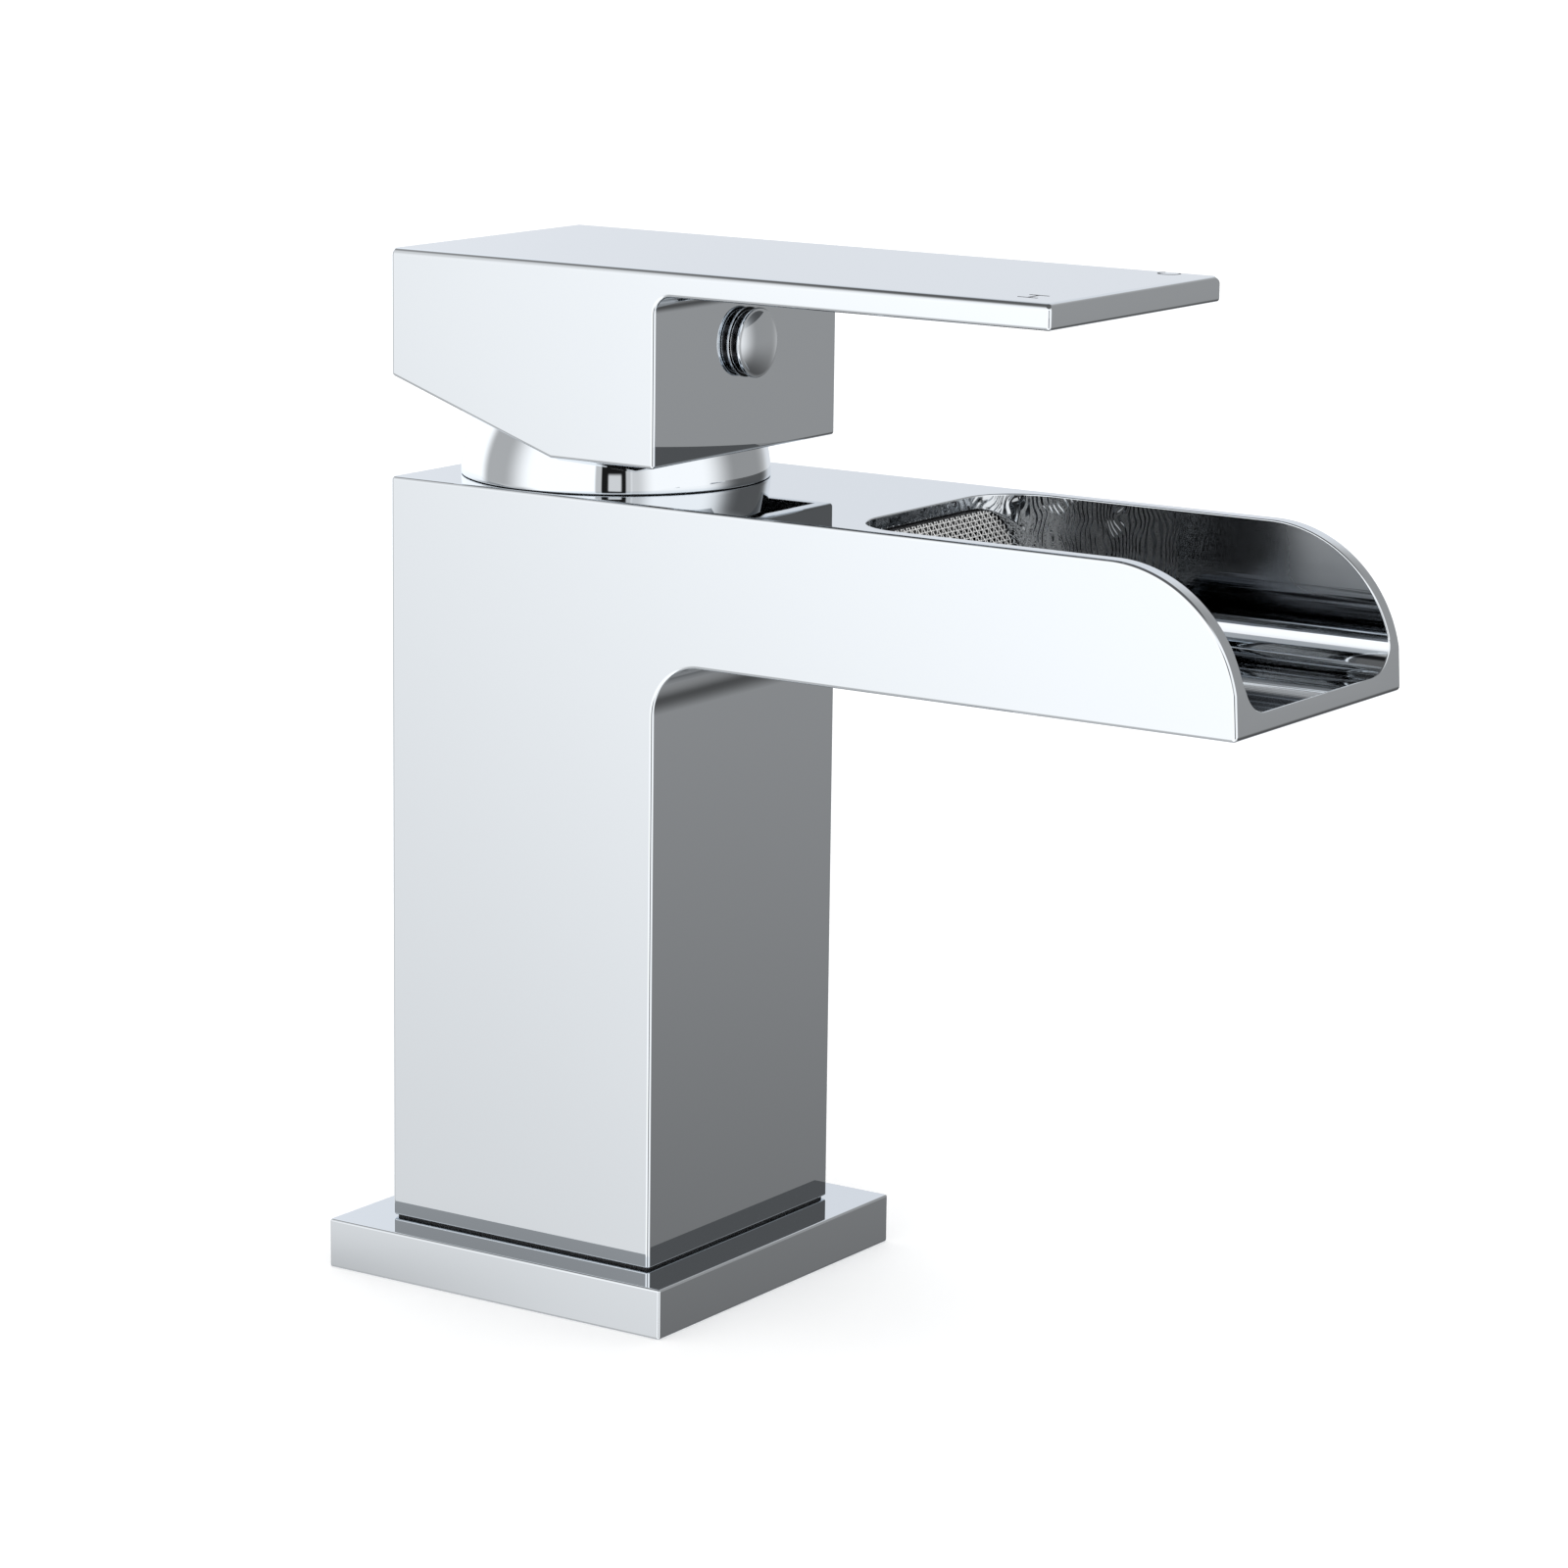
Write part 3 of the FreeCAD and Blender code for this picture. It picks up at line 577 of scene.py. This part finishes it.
footprint = bar((-CHANNEL_HALF, SPOUT_TIP - FOOTPRINT_PAST_TIP, FOOTPRINT_Z[0]),
                (CHANNEL_HALF, CHANNEL_REAR, FOOTPRINT_Z[1]))
round_edges(footprint, CHANNEL_REAR_R, BEND_SEGMENTS,
            lambda e: runs_along(e, 2) and e.verts[0].co.y > CHANNEL_REAR - NEAR)
trough = bar((-CHANNEL_HALF, SPOUT_TIP - TROUGH_PAST_TIP, CHANNEL_FLOOR),
             (CHANNEL_HALF, CHANNEL_REAR + TROUGH_PAST_REAR, TROUGH_TOP))
round_edges(trough, CHANNEL_FLOOR_R, CHANNEL_SEGMENTS, lengthwise_at(CHANNEL_FLOOR))
channel = make_object("channel", trough)
boolean(channel, footprint, "INTERSECT")
bm = bmesh.new()
bm.from_mesh(channel.data)
bpy.data.objects.remove(channel)
boolean(body, bm)

tunnel = bar((-CHANNEL_HALF, CHANNEL_REAR - CHANNEL_REAR_R, CHANNEL_FLOOR),
             (CHANNEL_HALF, TUNNEL_REAR, TUNNEL_TOP))
round_edges(tunnel, CHANNEL_FLOOR_R, CHANNEL_SEGMENTS, lengthwise_at(CHANNEL_FLOOR))
round_edges(tunnel, TUNNEL_TOP_R, CHANNEL_SEGMENTS, lengthwise_at(TUNNEL_TOP))
boolean(body, tunnel)
boolean(body, rod(CHAMBER_R, CHAMBER_FLOOR, BODY_TOP + PAST))
inner = COLUMN_HALF - COLUMN_WALL
boolean(body, bar((-inner, -inner, COLUMN_FOOT - PAST),
                  (inner, inner, CHAMBER_FLOOR - CHAMBER_FLOOR_WALL)))
dress(body, CHROME, edge=0.25)


def channel_chrome():
    """The channel's chrome: wavy grinding ridges at the rear, and streaks drawn to the tip, in its
    bump; its colour is darkened with painted shade along the streaks, over the rear and on the
    walls.
    """
    material = polished_metal("channel_chrome", CHROME_COLOUR, CHANNEL_GLOSS)
    tree = material.node_tree
    shader = tree.nodes["Principled BSDF"]
    compute = partial(math_node, tree)
    place = tree.nodes.new("ShaderNodeTexCoord").outputs["Object"]
    parts = tree.nodes.new("ShaderNodeSeparateXYZ")
    tree.links.new(place, parts.inputs[0])

    def ramp(axis, span, from_level=0.0):
        low, high = ((from_level + value) * MM for value in span)
        return ramp_node(tree, parts.outputs[axis], low, high)

    rear = ramp("Y", RIDGED_Y)
    on_floor = compute("SUBTRACT", 1.0, ramp("Z", FLOOR_END, CHANNEL_FLOOR))
    on_wall = ramp("Z", WALL_START, CHANNEL_FLOOR)
    behind_tip = ramp("Y", TIP_LIGHT)

    streaks = streak_node(tree, place, STREAK_SCALE, STREAK_DETAIL)
    # the streaks' painted shade, stronger on the floor
    depth = compute("MULTIPLY_ADD", on_floor, FLOOR_STREAKS,
                    compute("MULTIPLY_ADD", on_wall, WALL_STREAKS, streaks))
    # Painted shade: darker over the ridged rear and on the walls back from the tip, lighter again
    # in the rear corners.
    rear_shade = compute("MULTIPLY", rear, REAR_PAINTED_SHADE)
    wall_shade = compute("MULTIPLY", on_wall, compute("MULTIPLY", behind_tip, WALL_PAINTED_SHADE))
    shade_kept = compute("MULTIPLY_ADD", ramp("Y", CORNER_LIGHT), CORNER_SHADE_KEPT - 1.0, 1.0)
    painted_shade = compute("MULTIPLY", compute("MAXIMUM", rear_shade, wall_shade), shade_kept)
    shade = tree.nodes.new("ShaderNodeMix")
    shade.data_type = "RGBA"
    shade.inputs["A"].default_value = CHROME_COLOUR
    shade.inputs["B"].default_value = CHANNEL_PAINTED_SHADE
    tree.links.new(compute("MAXIMUM", ramp_node(tree, depth, *STREAK_SHADE), painted_shade),
                   shade.inputs["Factor"])
    tree.links.new(shade.outputs["Result"], shader.inputs["Base Color"])

    towards_tip = compute("SUBTRACT", 1.0, behind_tip)
    haze = compute("MULTIPLY", compute("MULTIPLY", towards_tip, ramp("Z", TIP_HAZE_Z)), TIP_HAZE)
    gloss = shader.inputs["Roughness"].links[0].from_socket
    tree.links.new(compute("ADD", gloss, haze), shader.inputs["Roughness"])

    ridges = tree.nodes.new("ShaderNodeTexWave")
    ridges.bands_direction = "Y"
    ridges.inputs["Scale"].default_value = RIDGE_SCALE
    ridges.inputs["Distortion"].default_value = RIDGE_WANDER
    ridges.inputs["Detail"].default_value = RIDGE_DETAIL
    ridges.inputs["Detail Scale"].default_value = RIDGE_WANDER_SCALE
    tree.links.new(place, ridges.inputs["Vector"])
    ridged = compute("MULTIPLY", rear, compute("GREATER_THAN", parts.outputs["X"], 0.0))
    height = compute("MULTIPLY_ADD", ridges.outputs["Fac"], ridged,
                     compute("MULTIPLY", streaks, STREAK_DEPTH))
    bump_node(tree, height, RIDGE_HEIGHT, shader)
    return material


def in_channel(x, y, z):
    corner = corner_inset(CHANNEL_FLOOR + CHANNEL_FLOOR_R - z, CHANNEL_FLOOR_R)
    return (abs(x) < CHANNEL_HALF - corner + NEAR
            and SPOUT_TIP + CHANNEL_END_GAP < y < -CHAMBER_R - CHANNEL_END_GAP
            and CHANNEL_FLOOR - NEAR < z < BODY_TOP - CHANNEL_RIM_GAP)


paint_inside(body, channel_chrome(), in_channel)
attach(body, "faucet_body")
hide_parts("body_casting")


# ------------------------------------------------------------------ spout_screen_mesh
# Plain-woven stainless wire that calms the water. It leans in the mouth of the water chamber, its
# wires running across the spout and up the slope, and its edge is tucked into the frame behind.
WIRE_R = 0.12
WIRE_PITCH = 0.715
WIRE_END_INSET = 0.1
WIRE_COLUMN_INSET = 0.3
WIRE_ROW_INSET = 0.2
SCREEN_LEAN = math.radians(17.0)
SCREEN_TOP_Y = -52.7
SCREEN_TOP_Z = 114.8
SCREEN_MIDDLE = 0.25            # the weave lies in the middle of the sheet's thickness
POINTS_PER_PITCH = 3
STEEL_COLOUR = (0.92, 0.92, 0.91, 1.0)
STEEL_GLOSS = (0.10, 0.18, 0.03)
STEEL_WAVE = 0.000003
STEEL_METALLIC = 0.55

weave = bpy.data.curves.new("screen_weave", "CURVE")
weave.dimensions = "3D"
weave.bevel_depth = WIRE_R * MM
weave.bevel_resolution = 1
weave.use_fill_caps = True
slope_length = (SCREEN_TOP_Z - CHANNEL_FLOOR) / math.cos(SCREEN_LEAN)
wire_columns = int(2 * (CHANNEL_HALF - WIRE_COLUMN_INSET) / WIRE_PITCH)
wire_rows = int((slope_length - 2 * WIRE_ROW_INSET) / WIRE_PITCH)
first_column = -(wire_columns - 1) / 2 * WIRE_PITCH


def screen_point(x, down, lift):
    """A point on the leaning screen: down the slope from its top, lifted along its normal."""
    back = SCREEN_MIDDLE + lift
    y = SCREEN_TOP_Y - down * math.sin(SCREEN_LEAN) - back * math.cos(SCREEN_LEAN)
    z = SCREEN_TOP_Z - down * math.cos(SCREEN_LEAN) + back * math.sin(SCREEN_LEAN)
    return Vector((x, y, z)) * MM


def lay_wire(start, end, point):
    """One wire from start to end, in millimetres along itself, through the points of a function."""
    steps = max(2, round((end - start) / WIRE_PITCH * POINTS_PER_PITCH))
    spline = weave.splines.new("POLY")
    spline.points.add(steps)
    for index, knot in enumerate(spline.points):
        knot.co = (*point(start + (end - start) * index / steps), 1.0)


for column in range(wire_columns):
    x = (column - (wire_columns - 1) / 2) * WIRE_PITCH
    top, bottom = (corner_inset(abs(x) - (CHANNEL_HALF - radius), radius) / math.cos(SCREEN_LEAN)
                   + WIRE_END_INSET for radius in (TUNNEL_TOP_R, CHANNEL_FLOOR_R))
    phase = math.pi * column
    lay_wire(top, slope_length - bottom, lambda down: screen_point(
        x, down, WIRE_R * math.cos(math.pi * down / WIRE_PITCH + phase)))

for row in range(wire_rows):
    down = WIRE_ROW_INSET + (row + 0.5) * WIRE_PITCH
    drop = down * math.cos(SCREEN_LEAN)
    rise = SCREEN_TOP_Z - CHANNEL_FLOOR - drop
    narrow = max(corner_inset(TUNNEL_TOP_R - drop, TUNNEL_TOP_R),
                 corner_inset(CHANNEL_FLOOR_R - rise, CHANNEL_FLOOR_R))
    reach = CHANNEL_HALF - WIRE_END_INSET - narrow
    phase = math.pi * (down / WIRE_PITCH)
    lay_wire(-reach, reach, lambda x: screen_point(
        x, down, -WIRE_R * math.cos(math.pi * (x - first_column) / WIRE_PITCH + phase)))

weave_object = bpy.data.objects.new("weave_curve", weave)
scene.collection.objects.link(weave_object)
screen_mesh = bpy.data.meshes.new_from_object(
    weave_object.evaluated_get(bpy.context.evaluated_depsgraph_get()))
bpy.data.objects.remove(weave_object)
merge_doubles(screen_mesh)
screen = bpy.data.objects.new("woven_screen", screen_mesh)
scene.collection.objects.link(screen)
screen_mesh.shade_smooth()
STEEL = polished_metal("screen_steel", STEEL_COLOUR, STEEL_GLOSS, STEEL_WAVE)
STEEL.node_tree.nodes["Principled BSDF"].inputs["Metallic"].default_value = STEEL_METALLIC
screen_mesh.materials.clear()
screen_mesh.materials.append(STEEL)
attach(screen, "faucet_body")
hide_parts("spout_screen_mesh")


# ------------------------------------------------------------------ dome_cover
# Spun brass dome, chromed, that hides the cartridge. It is part of a ball about the lever's pin, so
# the handle's hollow glides round it, and a ring inside its foot screws onto the nut's collar.
PIVOT_Z = 116.4
DOME_R = 22.3
DOME_WALL = 1.3
DOME_FOOT = 117.1
DOME_OPENING_R = 16.5
DOME_RING_R = 16.6
DOME_RING_TOP = 119.2
DOME_STEPS = 28


def ball_arc(radius, first_z, last_z):
    """Points (radius, height) along a ball about the pin, from one height to another."""
    first = math.asin((first_z - PIVOT_Z) / radius)
    last = math.asin((last_z - PIVOT_Z) / radius)
    angles = [first + (last - first) * k / DOME_STEPS for k in range(DOME_STEPS + 1)]
    return [(radius * math.cos(a), PIVOT_Z + radius * math.sin(a)) for a in angles]


inner_r = DOME_R - DOME_WALL
outer_top = PIVOT_Z + math.sqrt(DOME_R ** 2 - DOME_OPENING_R ** 2)
inner_top = PIVOT_Z + math.sqrt(inner_r ** 2 - DOME_OPENING_R ** 2)
profile = ball_arc(DOME_R, DOME_FOOT, outer_top) + ball_arc(inner_r, inner_top, DOME_RING_TOP)
profile += [(DOME_RING_R, DOME_RING_TOP), (DOME_RING_R, DOME_FOOT)]
dome = make_object("dome", turned(profile, sides=160))
dress(dome, CHROME, edge=0.12)
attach(dome, "faucet_body")
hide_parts("dome_cover")


# ------------------------------------------------------------------ handle
# Cast zinc handle: a solid block with a long flat lever in one piece, polished and chromed. Its
# underside is hollowed to clear the dome, round a boss that grips the stem.
HANDLE_HALF = 22.7
HANDLE_REAR = 23.1
HANDLE_TOP = 149.5
HANDLE_BOTTOM = 122.0
HANDLE_REAR_BOTTOM = 131.4
SLOPE_START = -5.0
BLOCK_FRONT = -22.6
LEVER_TIP = -85.5
LEVER_THICKNESS = 3.6
LEVER_FILLET = 2.5
LEVER_FILLET_SEGMENTS = 16
LEVER_TOP_EDGE = 1.0
LEVER_TOP_SEGMENTS = 5
HANDLE_EDGE = 0.5
HANDLE_EDGE_ANGLE = 40.0
HANDLE_WALL = 2.0
UNDERSIDE_DEPTH = 4.5
HOLLOW_R = 22.8
HUB_R = 8.6
HUB_FOOT = 126.6
RELIEF_R = 13.5
RELIEF_FOOT_ABOVE_PIVOT = 17.0
RELIEF_TOP = 144.0
STEM_HALF = 3.95
STEM_TOP = 144.3
PLUG_Z = 137.6
PLUG_HOLE_R = 4.0
PLUG_HOLE_END = -17.6
KEY_HOLE_R = 3.0
KEY_HOLE_END = -8.5
FOOT_RISE = 3.2                 # how high the front's shaded foot reaches at its -X end
FOOT_FADE = 1.6
FOOT_SLOPE = 0.085
FRONT_DEPTH = 0.1               # what lies this near the front's plane is the front
# the hollow's colour: near-black, painted shade on its rough bare zinc
HOLLOW_SHADE_COLOUR = (0.10, 0.10, 0.105, 1.0)
ZINC_GLOSS = (0.5, 0.65, 0.1)
ZINC_WAVE = 0.00003
ZINC_EDGE_GAP = 0.1             # the hollow's rough bare zinc and its painted shade stay this far inside the rounded edges
ZINC_FOOT_GAP = 0.3
ZINC_TOP_GAP = 1.0

lever_bottom = HANDLE_TOP - LEVER_THICKNESS
bm = side_prism([
    (HANDLE_REAR, HANDLE_TOP), (LEVER_TIP, HANDLE_TOP), (LEVER_TIP, lever_bottom),
    (BLOCK_FRONT, lever_bottom), (BLOCK_FRONT, HANDLE_BOTTOM), (SLOPE_START, HANDLE_BOTTOM),
    (HANDLE_REAR, HANDLE_REAR_BOTTOM)], HANDLE_HALF)
round_edges(bm, LEVER_FILLET, LEVER_FILLET_SEGMENTS, crosswise_at(BLOCK_FRONT, lever_bottom))
along_top, tip_top = lengthwise_at(HANDLE_TOP), crosswise_at(LEVER_TIP, HANDLE_TOP)
round_edges(bm, LEVER_TOP_EDGE, LEVER_TOP_SEGMENTS, lambda e: along_top(e) or tip_top(e))
round_edges(bm, HANDLE_EDGE, EDGE_SEGMENTS, lambda e: slope_between(e) > HANDLE_EDGE_ANGLE)
handle = make_object("handle_casting", bm)

# The hollows are cut whole, and the boss is put back into them.
ball = bmesh.new()
bmesh.ops.create_uvsphere(ball, u_segments=96, v_segments=64, radius=HOLLOW_R)
bmesh.ops.translate(ball, vec=(0, 0, PIVOT_Z), verts=ball.verts)
boolean(handle, ball)
front, rear = BLOCK_FRONT + HANDLE_WALL, HANDLE_REAR - HANDLE_WALL
under_slope = (HANDLE_REAR_BOTTOM - HANDLE_BOTTOM) / (HANDLE_REAR - SLOPE_START)
ceiling = HANDLE_BOTTOM + UNDERSIDE_DEPTH
rear_ceiling = ceiling + under_slope * (rear - SLOPE_START)
boolean(handle, side_prism([
    (front, HANDLE_BOTTOM - PAST), (front, ceiling), (SLOPE_START, ceiling), (rear, rear_ceiling),
    (rear, HANDLE_BOTTOM - PAST)], HANDLE_HALF - HANDLE_WALL))
boolean(handle, rod(RELIEF_R, PIVOT_Z + RELIEF_FOOT_ABOVE_PIVOT, RELIEF_TOP))
boolean(handle, rod(HUB_R, HUB_FOOT, RELIEF_TOP + PAST), "UNION")
boolean(handle, bar((-STEM_HALF, -STEM_HALF, HUB_FOOT - PAST), (STEM_HALF, STEM_HALF, STEM_TOP)))
boolean(handle, rod(KEY_HOLE_R, BLOCK_FRONT - PAST, KEY_HOLE_END, along_y_at=PLUG_Z, sides=48))
boolean(handle, rod(PLUG_HOLE_R, BLOCK_FRONT - PAST, PLUG_HOLE_END, along_y_at=PLUG_Z, sides=64))


def handle_chrome():
    """The same chrome, shaded as if the foot of the front leaned back, higher up towards -X."""
    material = polished_metal("handle_chrome", CHROME_COLOUR, CHROME_GLOSS)
    tree = material.node_tree
    compute = partial(math_node, tree)
    parts = tree.nodes.new("ShaderNodeSeparateXYZ")
    place = tree.nodes.new("ShaderNodeTexCoord").outputs["Object"]
    tree.links.new(place, parts.inputs[0])
    across = compute("MULTIPLY_ADD", parts.outputs["X"], -1 / (2 * HANDLE_HALF * MM), 0.5)
    faded = compute("POWER", compute("MAXIMUM", across, 0.0), FOOT_FADE)
    rise = compute("MULTIPLY", faded, FOOT_RISE * MM)
    foot_top = compute("ADD", rise, HANDLE_BOTTOM * MM)
    above_foot = compute("SUBTRACT", parts.outputs["Z"], foot_top)
    recess = compute("MULTIPLY", compute("MINIMUM", above_foot, 0.0), FOOT_SLOPE / MM)
    on_front = compute("LESS_THAN", parts.outputs["Y"], (BLOCK_FRONT + FRONT_DEPTH) * MM)
    bump_node(tree, compute("MULTIPLY", recess, on_front), MM, tree.nodes["Principled BSDF"])
    return material


def in_handle_hollow(x, y, z):
    underside = HANDLE_BOTTOM + under_slope * max(y - SLOPE_START, 0.0)
    inset = HANDLE_EDGE + ZINC_EDGE_GAP
    return (abs(x) < HANDLE_HALF - inset and BLOCK_FRONT + inset < y < HANDLE_REAR - inset
            and underside + ZINC_FOOT_GAP < z < HANDLE_TOP - ZINC_TOP_GAP)


dress(handle, handle_chrome())
# The hollow under the handle is left as rough bare zinc and painted near-black as the shade inside
# it.
HOLLOW_SHADE = polished_metal("hollow_zinc_painted_shade", HOLLOW_SHADE_COLOUR, ZINC_GLOSS, ZINC_WAVE)
paint_inside(handle, HOLLOW_SHADE, in_handle_hollow)
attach(handle, "lever")
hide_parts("handle")


# ------------------------------------------------------------------ hot and cold marks
# The letters H and C, etched finely into the lever's top near its tip, hot on the user's left.
# They are thin dark trim that stands a hair above the chrome.
MARK_SIZE = 3.0
MARK_STROKE = 0.3
MARK_PROUD = 0.02
MARK_SUNK = 0.05
MARK_H = (-16.2, -79.0)
MARK_C = (20.2, -78.7)
C_GAP = math.radians(50)
C_STEPS = 28
MARK_COLOUR = (0.09, 0.09, 0.10, 1.0)
MARK_GLOSS = (0.45, 0.6, 0.1)
MARK_WAVE = 0.000003

ETCHED = polished_metal("etched_mark", MARK_COLOUR, MARK_GLOSS, MARK_WAVE)
low, high = HANDLE_TOP - MARK_SUNK, HANDLE_TOP + MARK_PROUD
half = MARK_SIZE / 2
thin = MARK_STROKE / 2


def finish_mark(name, bm, place):
    bmesh.ops.translate(bm, vec=(*place, 0), verts=bm.verts)
    mark = make_object(name, bm)
    dress(mark, ETCHED)
    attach(mark, "lever")


bm = bmesh.new()
for left, near, right, far in ((-half - thin, -half, -half + thin, half),
                               (half - thin, -half, half + thin, half),
                               (-half + thin, -thin, half - thin, thin)):
    bar((left, near, low), (right, far, high), bm)
finish_mark("mark_h", bm, MARK_H)

bm = bmesh.new()
start = Matrix.Rotation(C_GAP, 3, "Z")
ring = [bm.verts.new(start @ Vector((half + dx, 0, z)))
        for dx, z in ((-thin, low), (thin, low), (thin, high), (-thin, high))]
bmesh.ops.spin(bm, geom=[bm.faces.new(ring)], cent=(0, 0, 0), axis=(0, 0, 1),
               angle=2 * math.pi - 2 * C_GAP, steps=C_STEPS)
finish_mark("mark_c", bm, MARK_C)


# ------------------------------------------------------------------ index_plug
# Turned brass plug, chromed, pushed into the block's front over the grub screw. Its head is
# slightly crowned, with a fine rim and a groove behind it.
PLUG_BODY_R = 3.98
PLUG_INNER_END = -17.8
PLUG_LEAD = (0.08, 0.6)         # how much its inner end tapers, and over what length
PLUG_HEAD_R = 4.95
PLUG_CROWN = 0.75
CROWN_STEPS = 14
RIM_DEPTH = 1.9                 # depths in front of the block: of the head's rim,
NECK_DEPTH = 1.4                # of the neck's front end
COLLAR_DEPTH = 0.15             # and of the collar behind the neck
NECK_R = 4.45
COLLAR_BREAK = 0.05
HEAD_BREAK = 0.15               # the head's broken rear edge
RIM_BREAK = (0.1, 0.2)          # and its rim's, across and along
RIM_WIDTH = 0.25
NECK_COLOUR = (0.03, 0.03, 0.032, 1.0)
NECK_GLOSS = (0.12, 0.3, 0.1)
NECK_WAVE = 0.00001
NECK_REACH = 0.25               # the black reaches this far beyond the neck's radius
NECK_MARGIN = 0.05

rim, neck_front, collar_front = (BLOCK_FRONT - d for d in (RIM_DEPTH, NECK_DEPTH, COLLAR_DEPTH))
face_r = PLUG_HEAD_R - RIM_WIDTH
profile = [
    (0, PLUG_INNER_END), (PLUG_BODY_R - PLUG_LEAD[0], PLUG_INNER_END),
    (PLUG_BODY_R, PLUG_INNER_END - PLUG_LEAD[1]), (PLUG_BODY_R, BLOCK_FRONT),
    (PLUG_HEAD_R, BLOCK_FRONT), (PLUG_HEAD_R, collar_front + COLLAR_BREAK),
    (PLUG_HEAD_R - COLLAR_BREAK, collar_front), (NECK_R, collar_front), (NECK_R, neck_front),
    (PLUG_HEAD_R - HEAD_BREAK, neck_front), (PLUG_HEAD_R, neck_front - HEAD_BREAK),
    (PLUG_HEAD_R, rim + RIM_BREAK[1]), (PLUG_HEAD_R - RIM_BREAK[0], rim), (face_r, rim)]
for step in range(1, CROWN_STEPS + 1):
    r = face_r * (1 - step / CROWN_STEPS)
    profile.append((r, rim - PLUG_CROWN * (1 - (r / face_r) ** 2)))
plug = make_object("plug", turned(profile, along_y_at=PLUG_Z, sides=96))
dress(plug, CHROME, edge=0.05)
NECK_BLACK = polished_metal("neck_black", NECK_COLOUR, NECK_GLOSS, NECK_WAVE)


def on_neck(x, y, z):
    return (neck_front - NECK_MARGIN < y < collar_front + NECK_MARGIN
            and math.hypot(x, z - PLUG_Z) < NECK_R + NECK_REACH)


paint_inside(plug, NECK_BLACK, on_neck)
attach(plug, "lever")
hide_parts("index_plug")


# ------------------------------------------------------------------ seals, gaskets and inner pieces
# The pieces that stay as the frame has them: moulded rubber, black and white acetal, lapped
# ceramic, machined brass and plain steel, each with its own grain.
GRAIN_DETAIL = 4.0
ROUGHNESS_DRIFT = 0.08
INNER_MATERIALS = [
    # name, its two colours, roughness, grain scale, grain height, metallic, the nodes made of it
    ("black_rubber", (0.012, 0.012, 0.013, 1), (0.03, 0.03, 0.032, 1), 0.62, 2500, 0.00002, 0.0,
     ("flange_seal", "column_gasket", "tube_seals", "cartridge_port_seals", "housing_seal",
      "turret_seal", "dome_seal")),
    ("black_acetal", (0.012, 0.012, 0.014, 1), (0.02, 0.02, 0.022, 1), 0.4, 1800, 0.00001, 0.0,
     ("spout_screen_frame",)),
    ("white_acetal", (0.80, 0.80, 0.76, 1), (0.74, 0.74, 0.70, 1), 0.38, 900, 0.00001, 0.0,
     ("cartridge_base", "disc_carrier", "cartridge_housing", "turret")),
    ("lapped_ceramic", (0.86, 0.86, 0.84, 1), (0.80, 0.80, 0.78, 1), 0.2, 1500, 0.000004, 0.0,
     ("fixed_disc", "moving_disc")),
    ("machined_brass", (0.62, 0.43, 0.16, 1), (0.55, 0.37, 0.13, 1), 0.28, 700, 0.000008, 1.0,
     ("inlet_block", "hot_supply_tube", "cold_supply_tube", "retaining_nut", "stem")),
    ("pin_steel", (0.55, 0.55, 0.55, 1), (0.48, 0.48, 0.49, 1), 0.3, 900, 0.000005, 1.0,
     ("stem_pin", "grub_screw")),
]


def grained(name, colour, second, roughness, grain_scale, grain_height, metallic):
    """A material whose colour and roughness drift between two values over a fine grain."""
    material, shader = new_material(name)
    tree = material.node_tree
    shader.inputs["Metallic"].default_value = metallic
    place = tree.nodes.new("ShaderNodeTexCoord").outputs["Object"]
    grain = noise_node(tree, place, grain_scale, GRAIN_DETAIL)
    tint = tree.nodes.new("ShaderNodeMix")
    tint.data_type = "RGBA"
    tint.inputs["A"].default_value = colour
    tint.inputs["B"].default_value = second
    tree.links.new(grain, tint.inputs["Factor"])
    tree.links.new(tint.outputs["Result"], shader.inputs["Base Color"])
    gloss = tree.nodes.new("ShaderNodeMapRange")
    gloss.inputs["To Min"].default_value = roughness - ROUGHNESS_DRIFT
    gloss.inputs["To Max"].default_value = roughness + ROUGHNESS_DRIFT
    tree.links.new(grain, gloss.inputs["Value"])
    tree.links.new(gloss.outputs["Result"], shader.inputs["Roughness"])
    bump_node(tree, grain, grain_height, shader)
    return material


for *look, kept_nodes in INNER_MATERIALS:
    material = grained(*look)
    for name in kept_nodes:
        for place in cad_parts[name].material_slots:
            place.material = material
